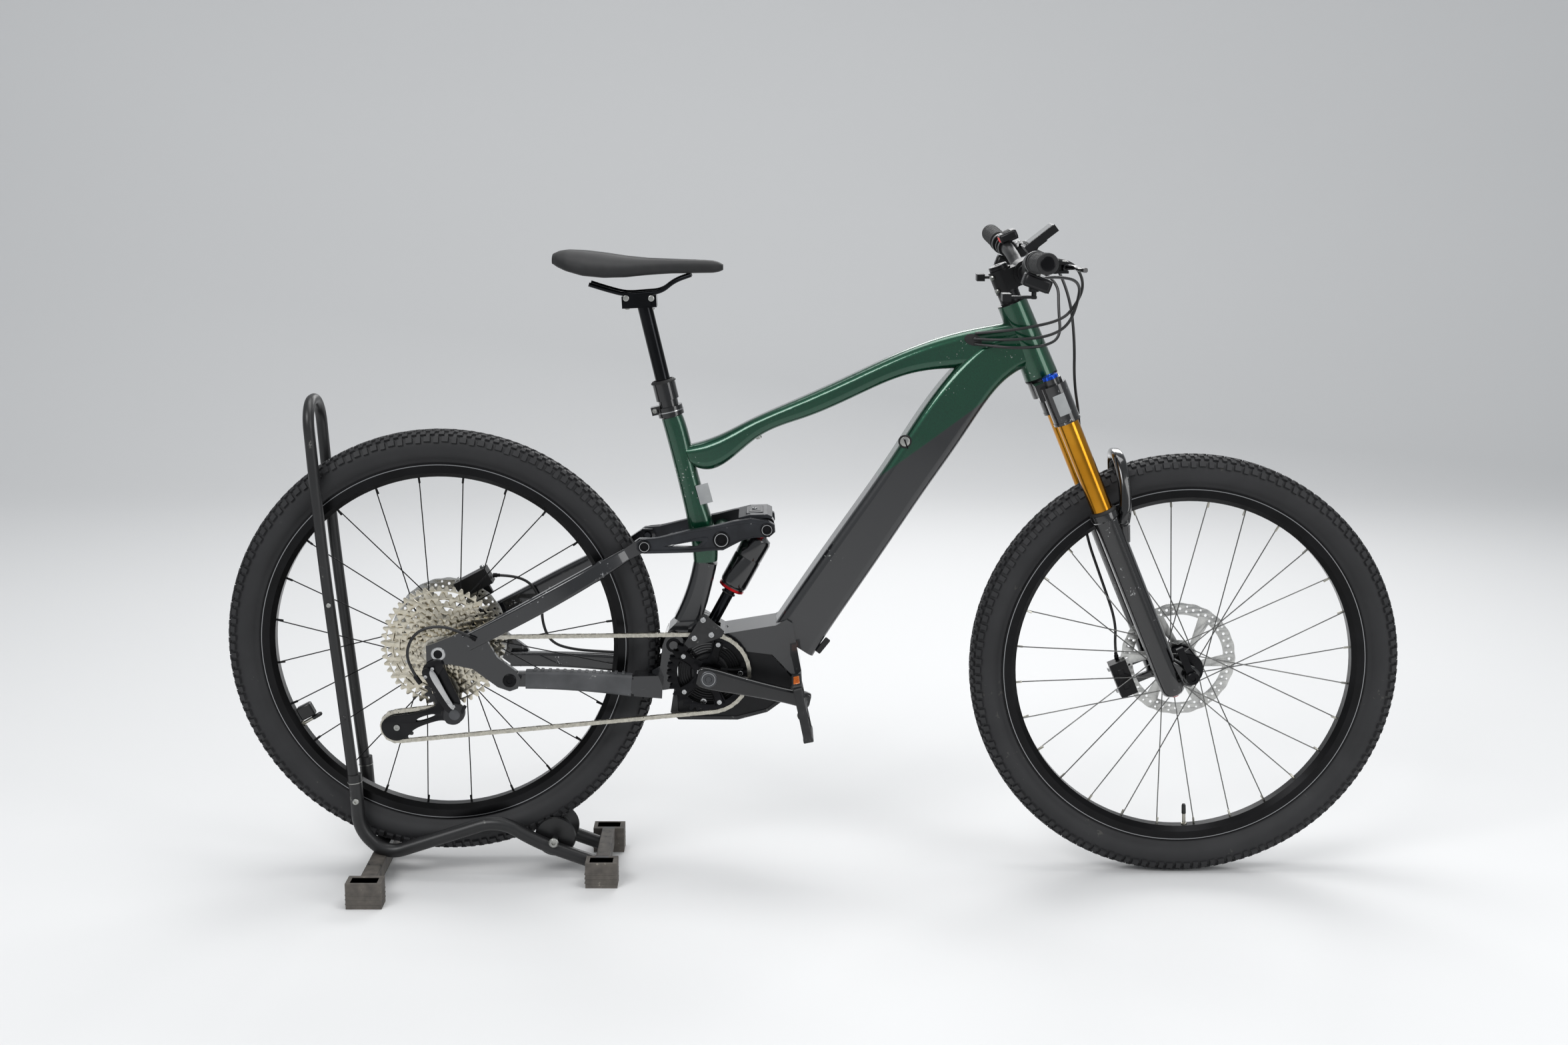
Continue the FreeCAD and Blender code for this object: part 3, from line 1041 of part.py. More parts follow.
doc.recompute()
faults = [obj.Name for obj in doc.Objects if "Invalid" in obj.State or "Error" in obj.State]
faults += [obj.Label for obj in NODES if obj.Shape.isNull() or not obj.Shape.isValid()]
if faults:
    raise SystemExit(f"failed objects: {faults}")
os.makedirs("parts", exist_ok=True)
for obj in NODES:
    obj.Shape.exportStep(f"parts/{obj.Label}.step")
whole = Part.makeCompound([obj.Shape for obj in NODES])
print(len(NODES), "nodes", whole.BoundBox)
for obj in NODES:
    print(obj.Label, len(obj.Shape.Solids), round(obj.Shape.Volume / 1000, 1), "cm3")
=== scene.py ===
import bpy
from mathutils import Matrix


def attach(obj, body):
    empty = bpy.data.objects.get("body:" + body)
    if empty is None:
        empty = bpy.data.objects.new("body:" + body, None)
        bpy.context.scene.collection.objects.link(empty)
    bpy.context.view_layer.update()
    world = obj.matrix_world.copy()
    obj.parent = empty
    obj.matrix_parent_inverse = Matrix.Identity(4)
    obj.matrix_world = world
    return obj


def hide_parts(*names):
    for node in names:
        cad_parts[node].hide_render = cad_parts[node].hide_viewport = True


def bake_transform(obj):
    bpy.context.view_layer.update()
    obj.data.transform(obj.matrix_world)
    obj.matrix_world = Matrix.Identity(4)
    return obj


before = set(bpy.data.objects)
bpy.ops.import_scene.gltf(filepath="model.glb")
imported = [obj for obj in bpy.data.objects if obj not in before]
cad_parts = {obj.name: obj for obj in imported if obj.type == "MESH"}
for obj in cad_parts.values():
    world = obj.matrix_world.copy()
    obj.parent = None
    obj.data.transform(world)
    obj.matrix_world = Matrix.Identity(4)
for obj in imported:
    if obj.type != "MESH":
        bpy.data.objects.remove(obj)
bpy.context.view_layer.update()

import math

import bpy
import numpy as np
from mathutils import Vector

# ---------------------------------------------------------------- studio
# A pale seamless floor under broad soft lamps. The camera stands at chest height square to the drive
# side, about four metres off, with a normal lens.
scene = bpy.context.scene
scene.view_settings.view_transform = "Standard"
WHEELBASE = 1281.0


def linear(colour):
    """sRGB hex text to linear red, green, blue and alpha."""
    parts = np.array([int(colour[i:i + 2], 16) for i in (1, 3, 5)]) / 255
    shown = np.where(parts <= 0.04045, parts / 12.92, ((parts + 0.055) / 1.055) ** 2.4)
    return (*shown, 1.0)


def add(tree, kind, settings=None, **inputs):
    """Adds a node. Inputs name its sockets, or n3 for the fourth, and hold a value or an output to link."""
    made = tree.nodes.new(kind)
    for key, value in (settings or {}).items():
        setattr(made, key, value)
    for key, value in inputs.items():
        numbered = key[0] == "n" and key[1:].isdigit()
        socket = made.inputs[int(key[1:]) if numbered else key.replace("_", " ")]
        if isinstance(value, bpy.types.NodeSocket):
            tree.links.new(value, socket)
        else:
            socket.default_value = value
    return made


def empty_material(name):
    """A material holding only its Principled shader and output, with the shader and the node tree."""
    made = bpy.data.materials.new(name)
    made.use_nodes = True
    tree = made.node_tree
    return made, tree, tree.nodes["Principled BSDF"]


def stops(ramp, *pairs):
    """Sets a colour ramp's stops from (place, grey) pairs."""
    elements = ramp.color_ramp.elements
    while len(elements) < len(pairs):
        elements.new(0.5)
    for element, (place, grey) in zip(elements, pairs):
        element.position = place
        element.color = (grey, grey, grey, 1)
    return ramp.outputs["Color"]


def mesh_object(name, vertices, faces, material, body, sharp=35, outward=True):
    """Object from arrays: smooth, with edges sharper than the angle kept crisp, riding on a body."""
    mesh = bpy.data.meshes.new(name)
    mesh.from_pydata(np.asarray(vertices, float).tolist(), [], [tuple(f) for f in faces])
    if outward:
        import bmesh
        work = bmesh.new()
        work.from_mesh(mesh)
        bmesh.ops.remove_doubles(work, verts=work.verts, dist=1e-6)
        bmesh.ops.recalc_face_normals(work, faces=work.faces)
        work.to_mesh(mesh)
        work.free()
    mesh.shade_smooth()
    mesh.set_sharp_from_angle(angle=math.radians(sharp))
    made = bpy.data.objects.new(name, mesh)
    scene.collection.objects.link(made)
    if material is not None:
        mesh.materials.append(material)
    if body:
        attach(made, body)
    return made


def grid_faces(rows, columns, wrap_rows=False, wrap_columns=False, start=0):
    """Quads of a grid of points, row by row, closed round either way if asked."""
    r = np.arange(rows if wrap_rows else rows - 1)[:, None]
    c = np.arange(columns if wrap_columns else columns - 1)[None, :]
    r1 = (r + 1) % rows
    c1 = (c + 1) % columns
    quads = np.stack([r * columns + c, r * columns + c1, r1 * columns + c1, r1 * columns + c], -1)
    return (quads.reshape(-1, 4) + start).tolist()


def rear(x, z, y=0.0):
    """Point in metres from millimetres ahead of the rear axle, above the floor and to the left."""
    return np.array([x - WHEELBASE / 2, y, z]) / 1000


CAMERA_AT = Vector((-0.0895, -3.4237, 1.3118))
YAW, PITCH, ROLL = -0.010, 0.1986, 0.0057
camera_data = bpy.data.cameras.new("camera")
camera_data.sensor_width = 36
camera_data.lens = 46.75
camera_data.clip_end = 50
camera = bpy.data.objects.new("camera", camera_data)
scene.collection.objects.link(camera)
camera.location = CAMERA_AT
look = Vector((-math.sin(YAW) * math.cos(PITCH), math.cos(YAW) * math.cos(PITCH), -math.sin(PITCH)))
turn = look.to_track_quat("-Z", "Y").to_matrix().to_4x4()
from mathutils import Matrix
camera.matrix_world = Matrix.Translation(CAMERA_AT) @ turn @ Matrix.Rotation(ROLL, 4, "Z")
scene.camera = camera

paper, tree, shader = empty_material("studio_paper")
fine = add(tree, "ShaderNodeTexNoise", Scale=900.0, Detail=2.0)
broad = add(tree, "ShaderNodeTexNoise", Scale=1.6, Detail=3.0)
tone = stops(add(tree, "ShaderNodeValToRGB", Fac=broad.outputs["Fac"]), (0.3, 0.72), (0.7, 0.78))
tree.links.new(tone, shader.inputs["Base Color"])
shader.inputs["Roughness"].default_value = 0.7
bump = add(tree, "ShaderNodeBump", Strength=0.15, Distance=0.0004, Height=fine.outputs["Fac"])
tree.links.new(bump.outputs["Normal"], shader.inputs["Normal"])

across = np.linspace(-9, 9, 3)
curve_u = np.linspace(0, 1, 60)
run_y = np.where(curve_u < 0.6, -7 + curve_u / 0.6 * 10.5, 3.5 + 2.6 * np.sin((curve_u - 0.6) / 0.4 * math.pi / 2))
run_z = np.where(curve_u < 0.6, 0.0, 2.6 * (1 - np.cos((curve_u - 0.6) / 0.4 * math.pi / 2)) + 3.5 * ((curve_u - 0.6) / 0.4) ** 3)
sweep_points = np.stack([np.repeat(across[None, :], 60, 0), np.repeat(run_y[:, None], 3, 1),
                         np.repeat(run_z[:, None], 3, 1)], -1)
floor = mesh_object("floor", sweep_points.reshape(-1, 3), grid_faces(60, 3), paper, None, outward=False)

world = bpy.data.worlds.new("studio")
scene.world = world
world.use_nodes = True
world.node_tree.nodes["Background"].inputs["Color"].default_value = linear("#e8ecf0")
world.node_tree.nodes["Background"].inputs["Strength"].default_value = 0.55


def lamp(name, place, target, width, height, power, colour="#ffffff"):
    """Rectangular area lamp aimed at a target."""
    data = bpy.data.lights.new(name, "AREA")
    data.shape = "RECTANGLE"
    data.size = width
    data.size_y = height
    data.energy = power
    data.color = linear(colour)[:3]
    made = bpy.data.objects.new(name, data)
    scene.collection.objects.link(made)
    made.location = place
    made.rotation_euler = (Vector(target) - Vector(place)).to_track_quat("-Z", "Y").to_euler()


lamp("key", (-2.2, -3.2, 3.6), (0, 0, 0.5), 2.4, 1.4, 95)
lamp("fill", (3.0, -2.6, 1.9), (0.1, 0, 0.6), 1.6, 2.4, 38)
lamp("overhead", (0.2, 0.3, 3.9), (0, 0, 0.4), 3.6, 1.6, 75)
lamp("rim_lamp", (0.8, 3.2, 2.4), (0, 0, 0.7), 2.6, 1.2, 45)

# ---------------------------------------------------------------- floor stand
# Bent steel tube in black satin powder coat, scuffed where wheels have rubbed it. Two U rails and a tall
# hoop slide together in sleeves, flat crossbars end in moulded rubber feet, and a plastic roller spins.


def surface(name, colours, roughness, metallic=0.0, mottle=40.0, grain=0.5, depth=0.01, chips=None, chip_size=4.0):
    """Material that drifts between two colours over mottle mm and between two roughness values, with a
    bump of depth mm at grain mm, and chips: a colour that shows where a noise passes its threshold."""
    made, tree, shader = empty_material(name)
    place = add(tree, "ShaderNodeTexCoord").outputs["Object"]
    broad = add(tree, "ShaderNodeTexNoise", Vector=place, Scale=1000 / mottle, Detail=4.0).outputs["Fac"]
    fine = add(tree, "ShaderNodeTexNoise", Vector=place, Scale=1000 / grain, Detail=2.0).outputs["Fac"]
    drift = stops(add(tree, "ShaderNodeValToRGB", Fac=broad), (0.35, 0), (0.65, 1))
    colour = add(tree, "ShaderNodeMix", {"data_type": "RGBA"}, n0=drift, n6=linear(colours[0]),
                 n7=linear(colours[1])).outputs[2]
    if chips:
        speck = add(tree, "ShaderNodeTexNoise", Vector=place, Scale=1000 / chip_size, Detail=6.0, Roughness=0.7)
        where = add(tree, "ShaderNodeMath", {"operation": "MULTIPLY"}, n0=speck.outputs["Fac"], n1=broad)
        mask = stops(add(tree, "ShaderNodeValToRGB", Fac=where.outputs[0]), (chips[1], 0), (chips[1] + 0.012, 1))
        colour = add(tree, "ShaderNodeMix", {"data_type": "RGBA"}, n0=mask, n6=colour, n7=linear(chips[0])).outputs[2]
    gloss = add(tree, "ShaderNodeMapRange", n0=fine, n3=roughness[0], n4=roughness[1])
    relief = add(tree, "ShaderNodeBump", Strength=1.0, Distance=depth / 1000, Height=fine)
    tree.links.new(colour, shader.inputs["Base Color"])
    tree.links.new(gloss.outputs[0], shader.inputs["Roughness"])
    tree.links.new(relief.outputs["Normal"], shader.inputs["Normal"])
    shader.inputs["Metallic"].default_value = metallic
    return made


def coated(made, weight, roughness):
    """Adds a clear coat to a material."""
    shader = made.node_tree.nodes["Principled BSDF"]
    shader.inputs["Coat Weight"].default_value = weight
    shader.inputs["Coat Roughness"].default_value = roughness
    return made


def dress(material, *nodes):
    """Gives CAD nodes their finished material."""
    for name in nodes:
        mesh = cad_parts[name].data
        mesh.materials.clear()
        mesh.materials.append(material)


def spun(name, centre, axis, profile, material, body, count=48, sharp=30):
    """Round piece: each profile pair is (radius, place along the axis) in mm, and a radius may be an array
    of one value for each of the count angles. The first and last rings close on the axis."""
    axis = np.asarray(axis, float) / np.linalg.norm(axis)
    aside = np.cross(axis, (0.0, 0.0, 1.0))
    if np.linalg.norm(aside) < 0.2:
        aside = np.cross(axis, (0.0, 1.0, 0.0))
    aside = aside / np.linalg.norm(aside)
    third = np.cross(axis, aside)
    angle = np.linspace(0, 2 * math.pi, count, endpoint=False)
    around = np.cos(angle)[:, None] * aside + np.sin(angle)[:, None] * third
    rings = [centre + (np.broadcast_to(np.asarray(r, float), count)[:, None] * around + a * axis) / 1000
             for r, a in profile]
    points = np.concatenate(rings)
    faces = grid_faces(len(profile), count, wrap_columns=True)
    last = (len(profile) - 1) * count
    faces += [list(range(count)), list(range(last, last + count))]
    return mesh_object(name, points, faces, material, body, sharp)


def turned_ring(name, centre, axis, loop, material, body, count=96, sharp=30):
    """Ring: a closed loop of (radius, place along the axis) in mm carried round the axis."""
    axis = np.asarray(axis, float) / np.linalg.norm(axis)
    aside = np.cross(axis, (0.0, 0.0, 1.0))
    if np.linalg.norm(aside) < 0.2:
        aside = np.cross(axis, (0.0, 1.0, 0.0))
    aside = aside / np.linalg.norm(aside)
    third = np.cross(axis, aside)
    angle = np.linspace(0, 2 * math.pi, count, endpoint=False)
    around = np.cos(angle)[:, None] * aside + np.sin(angle)[:, None] * third
    points = np.concatenate([centre + (r * around + a * axis) / 1000 for r, a in loop])
    return mesh_object(name, points, grid_faces(len(loop), count, True, True), material, body, sharp)


def hexed(name, centre, toward, radius, height, socket, material, body):
    """Bolt head: a chamfered disc with a hexagonal recess as wide across its corners as socket, in mm."""
    angle = np.linspace(0, 2 * math.pi, 48, endpoint=False)
    hexagon = socket / 2 * math.cos(math.pi / 6) / np.cos((angle % (math.pi / 3)) - math.pi / 6)
    profile = [(radius, 0), (radius, height * 0.7), (radius - height * 0.3, height), (hexagon, height),
               (hexagon, height * 0.25)]
    return spun(name, centre, toward, profile, material, body)


def smooth_path(points, count):
    """Catmull-Rom curve through points (or rows of any values), count rows evenly spread over its runs."""
    p = np.asarray(points, float)
    p = np.vstack([2 * p[0] - p[1], p, 2 * p[-1] - p[-2]])
    t = np.linspace(0, len(p) - 3 - 1e-9, count)
    i = t.astype(int)
    f = (t - i)[:, None]
    a, b, c, d = p[i], p[i + 1], p[i + 2], p[i + 3]
    return 0.5 * (2 * b + (c - a) * f + (2 * a - 5 * b + 4 * c - d) * f ** 2 + (3 * b - a - 3 * c + d) * f ** 3)


def carried(name, path, section, material, body, sharp=35, close=True):
    """Section carried along a path in metres. Section is (m, 2) or (n, m, 2) in mm: the first number
    lies along travel x Y, the second along Y squared to the travel. The ends are closed."""
    path = np.asarray(path, float)
    travel = np.gradient(path, axis=0)
    travel /= np.linalg.norm(travel, axis=1)[:, None]
    upright = np.tile((0.0, 1.0, 0.0), (len(path), 1))
    upright = np.where(np.abs(travel[:, 1:2]) > 0.8, (0.0, 0.0, 1.0), upright)
    upright[:] = upright[len(path) // 2]
    across = np.cross(travel, upright)
    across /= np.linalg.norm(across, axis=1)[:, None]
    side = np.cross(across, travel)
    section = np.broadcast_to(np.asarray(section, float) / 1000, (len(path),) + np.asarray(section).shape[-2:])
    points = (path[:, None] + section[..., :1] * across[:, None] + section[..., 1:] * side[:, None]).reshape(-1, 3)
    m = section.shape[1]
    faces = grid_faces(len(path), m, wrap_columns=True)
    if close:
        faces += [list(range(m)), list(range((len(path) - 1) * m, len(path) * m))]
    return mesh_object(name, points, faces, material, body, sharp)


def circle(radius, count=20):
    """Circle of points in mm."""
    angle = np.linspace(0, 2 * math.pi, count, endpoint=False)
    return np.column_stack([np.cos(angle), np.sin(angle)]) * radius


def block(name, centre, size, tilt, material, body, bevel=1.5, levels=2):
    """Rounded bar: length turned up from +X by tilt degrees, width along Y, and height, in mm."""
    x, y, z = np.asarray(size, float) / 2000
    corners = np.array([(a * x, b * y, c * z) for a in (-1, 1) for b in (-1, 1) for c in (-1, 1)])
    lean = math.radians(tilt)
    turned = np.column_stack([corners[:, 0] * math.cos(lean) - corners[:, 2] * math.sin(lean), corners[:, 1],
                              corners[:, 0] * math.sin(lean) + corners[:, 2] * math.cos(lean)]) + centre
    faces = [(0, 1, 3, 2), (4, 6, 7, 5), (0, 4, 5, 1), (2, 3, 7, 6), (0, 2, 6, 4), (1, 5, 7, 3)]
    made = mesh_object(name, turned, faces, material, body)
    edge = made.modifiers.new("edges", "BEVEL")
    edge.width = bevel / 1000
    edge.segments = levels
    edge.limit_method = "ANGLE"
    return made


powder = surface("satin_black_powder_coat", ("#141415", "#1b1b1c"), (0.32, 0.46), grain=1.2, depth=0.03,
                 chips=("#5d5c59", 0.385), chip_size=9)
worn_bar = surface("worn_crossbar", ("#5a554f", "#3b3835"), (0.5, 0.75), mottle=22, grain=1.5, depth=0.04,
                   chips=("#1d1c1b", 0.34), chip_size=8)
foot_rubber = surface("dusty_rubber", ("#4c4844", "#5f5a54"), (0.75, 0.92), mottle=18, grain=0.9, depth=0.06,
                      chips=("#8a857c", 0.37), chip_size=6)
roller_plastic = surface("roller_plastic", ("#0d0d0e", "#151516"), (0.3, 0.42), mottle=20)
zinc = surface("zinc_plated_steel", ("#9a9b98", "#b3b3ae"), (0.26, 0.4), metallic=1.0, mottle=8, grain=0.4)
dress(powder, "stand_hoop", "stand_base")
dress(foot_rubber, "stand_feet")
dress(roller_plastic, "stand_roller")
for label, x, z, length, width in (("rear", -117, 26.5, 26, 340), ("front", 273, 32, 22, 146)):
    block(f"crossbar_{label}_skin", rear(x, z), (length + 1.2, width - 8, 28 if label == "rear" else 27), 0, worn_bar,
          "stand", 2.0)
for side in (-1, 1):
    tag = "right" if side < 0 else "left"
    turned_ring(f"sleeve_mouth_{tag}", rear(-155.5, 172, side * 50), (-0.094, 0, 0.9956),
                [(9.6, -1), (12.6, -1), (12.8, 0.4), (9.6, 0.8)], zinc, "stand", 40)
    hexed(f"sleeve_bolt_{tag}", rear(-152.6, 140, side * 61.5), (0, side, 0), 5.5, 4, 5, zinc, "stand")
    for k, (x, z) in enumerate(((-168, 290), (-187, 488))):
        spun(f"hoop_button_{tag}_{k}", rear(x, z, side * 59), (0, side, 0), [(4, 0), (4, 1.2), (2.5, 2.4)],
             zinc if k else powder, "stand", 20)
    hexed(f"roller_nut_{tag}", rear(188, 67, side * 62.5), (0, side, 0), 8.5, 6, 8, zinc, "stand")
    turned_ring(f"roller_groove_{tag}", rear(188, 67, side * 26), (0, 1, 0),
                [(19.5, -2.5), (22, -1.4), (22, 1.4), (19.5, 2.5)], roller_plastic, "roller", 48)
for label, x, reach, length in (("rear", -117, 185, 60), ("front", 272.5, 88, 55)):
    for side in (-1, 1):
        tag = f"{label}_{'right' if side < 0 else 'left'}"
        for k, z in enumerate((9, 17, 25)):
            block(f"foot_rib_{tag}_{k}", rear(x, z, side * reach), (length + 1.6, 39.2, 2.4), 0, foot_rubber, "stand", 0.9)
        block(f"foot_cap_{tag}", rear(x, 43.2, side * (reach + 2)), (length - 12, 26, 3.6), 0, foot_rubber, "stand", 1.4)

# ---------------------------------------------------------------- wheels
# Tubeless tyres of black rubber with moulded block tread, alloy rims on straight-pull steel spokes,
# turned alloy hubs, and stamped steel brake discs with drilled tracks on black carriers.
AXLES = {"rear": rear(0, 410), "front": rear(WHEELBASE, 372.5)}
CARCASS = np.array([(311, 15.1), (317, 15.3), (321, 17), (326, 21.6), (333, 26.8), (341, 29.4), (349, 29.6), (356, 27.6),
                    (362, 23.6), (366, 17.6), (368.4, 10), (369, 0)], float)
CARCASS = np.vstack([CARCASS, CARCASS[-2::-1] * (1, -1)])
SIDE_ARC = np.concatenate([[0], np.cumsum(np.linalg.norm(np.diff(CARCASS, axis=0), axis=1))])


def on_tyre(arc, angle, height):
    """Points of a tyre in mm about its axle: arc along the section from the crown, angle, height above it."""
    at = np.clip(arc + SIDE_ARC[-1] / 2, 0, SIDE_ARC[-1])
    radius = np.interp(at, SIDE_ARC, CARCASS[:, 0])
    offset = np.interp(at, SIDE_ARC, CARCASS[:, 1])
    before = np.clip(at - 3, 0, SIDE_ARC[-1])
    after = np.clip(at + 3, 0, SIDE_ARC[-1])
    dr = np.interp(after, SIDE_ARC, CARCASS[:, 0]) - np.interp(before, SIDE_ARC, CARCASS[:, 0])
    dy = np.interp(after, SIDE_ARC, CARCASS[:, 1]) - np.interp(before, SIDE_ARC, CARCASS[:, 1])
    length = np.hypot(dr, dy)
    radius = radius - dy / length * height
    offset = offset + dr / length * height
    return np.stack([radius * np.cos(angle), offset, radius * np.sin(angle)], -1)


PITCHES = 74
# Each block: share of the pitch, place across in mm, half length in mm, half width in mm, height in mm.
BLOCKS = [(0.0, 5.6, 5.6, 4.2, 3.2), (0.5, 6.6, 4.2, 5.0, 3.2), (0.25, 17.5, 5.2, 4.0, 3.8), (0.75, 16.5, 4.4, 4.4, 3.8),
          (0.02, 29.5, 6.4, 4.6, 4.6), (0.52, 30.5, 5.0, 5.4, 4.6)]


def tyre(end, body):
    """Carcass ring and its tread blocks: every block is four base corners and four smaller top corners."""
    angle = np.linspace(0, 2 * math.pi, 144, endpoint=False)
    ring = np.stack([CARCASS[:, :1] * np.cos(angle), np.repeat(CARCASS[:, 1:], 144, 1),
                     CARCASS[:, :1] * np.sin(angle)], -1)
    points = [ring.reshape(-1, 3)]
    faces = grid_faces(len(CARCASS), 144, True, True)
    start = len(points[0])
    pitch = np.arange(PITCHES) * 2 * math.pi / PITCHES
    for share, across, half_long, half_wide, height in BLOCKS:
        for side in (-1, 1):
            centre = pitch + (share + (0.06 if side > 0 else 0)) * 2 * math.pi / PITCHES
            corner = np.array([(-1, -1), (1, -1), (1, 1), (-1, 1)])
            layers = []
            for shrink, lift in ((1.0, -0.8), (0.84, height)):
                arc = side * across + corner[:, 1] * half_wide * shrink
                spread = corner[:, 0] * half_long * shrink / 370
                layers.append(on_tyre(np.broadcast_to(arc, (PITCHES, 4)), centre[:, None] + spread, lift))
            blocks = np.concatenate(layers, 1).reshape(-1, 3)
            base = start + np.arange(PITCHES)[:, None, None] * 8
            quads = np.array([(4, 5, 6, 7), (0, 4, 7, 3), (1, 2, 6, 5), (0, 1, 5, 4), (3, 7, 6, 2), (0, 3, 2, 1)])
            faces += (base + quads).reshape(-1, 4).tolist()
            points.append(blocks)
            start += len(blocks)
    made = mesh_object(f"{end}_tyre_tread", np.concatenate(points) / 1000 + AXLES[end], faces, tyre_rubber, body, 40)
    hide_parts(f"{end}_tyre")
    return made


def plate(name, loops, y_low, y_high, material, body, bevel=0.4, centre=(0.0, 0.0), sharp=30):
    """Flat piece in the wheel plane: the first loop of (ahead, up) mm is its edge and the others are holes,
    filled from y_low to y_high mm with edges rounded by bevel."""
    flat = bpy.data.curves.new(name, "CURVE")
    flat.dimensions = "2D"
    flat.fill_mode = "BOTH"
    flat.extrude = (y_high - y_low) / 2000 - bevel / 1000
    flat.bevel_depth = bevel / 1000
    flat.bevel_resolution = 1
    flat.offset = -bevel / 1000
    for loop in loops:
        loop = np.asarray(loop, float) / 1000
        spline = flat.splines.new("POLY")
        spline.points.add(len(loop) - 1)
        spline.points.foreach_set("co", np.column_stack([loop, np.zeros(len(loop)), np.ones(len(loop))]).ravel())
        spline.use_cyclic_u = True
    holder = bpy.data.objects.new(name + "_outline", flat)
    drawn = bpy.data.meshes.new_from_object(holder)
    corners = np.empty(len(drawn.vertices) * 3, np.float32)
    drawn.vertices.foreach_get("co", corners)
    a, b, c = corners.reshape(-1, 3).T
    middle = (y_low + y_high) / 2000
    points = rear(centre[0], centre[1]) + np.column_stack([a, middle - c, b])
    faces = [tuple(p.vertices) for p in drawn.polygons]
    bpy.data.objects.remove(holder)
    bpy.data.curves.remove(flat)
    bpy.data.meshes.remove(drawn)
    return mesh_object(name, points, faces, material, body, sharp)


tyre_rubber = surface("tyre_rubber", ("#18181a", "#1f1f21"), (0.55, 0.72), mottle=60, grain=0.8, depth=0.03,
                      chips=("#3a3936", 0.40), chip_size=10)
tyre("rear", "rear_wheel")
tyre("front", "front_wheel")


def rim_material(end):
    """Black anodised alloy whose flange shows a thin machined line 3.5 mm inside the tyre."""
    made = surface(f"{end}_rim_anodised", ("#0c0c0d", "#121214"), (0.24, 0.34), metallic=0.7, grain=0.3)
    tree = made.node_tree
    shader = tree.nodes["Principled BSDF"]
    place = add(tree, "ShaderNodeTexCoord").outputs["Object"]
    centre = AXLES[end]
    moved = add(tree, "ShaderNodeVectorMath", {"operation": "SUBTRACT"}, n0=place, n1=(centre[0], centre[1], centre[2]))
    flat = add(tree, "ShaderNodeVectorMath", {"operation": "MULTIPLY"}, n0=moved.outputs[0], n1=(1, 0, 1))
    radius = add(tree, "ShaderNodeVectorMath", {"operation": "LENGTH"}, n0=flat.outputs[0]).outputs["Value"]
    line = add(tree, "ShaderNodeMath", {"operation": "COMPARE"}, n0=radius, n1=0.3136, n2=0.0006).outputs[0]
    old = shader.inputs["Base Color"].links[0].from_socket
    lined = add(tree, "ShaderNodeMix", {"data_type": "RGBA"}, n0=line, n6=old, n7=linear("#8f9092"))
    tree.links.new(lined.outputs[2], shader.inputs["Base Color"])
    return made


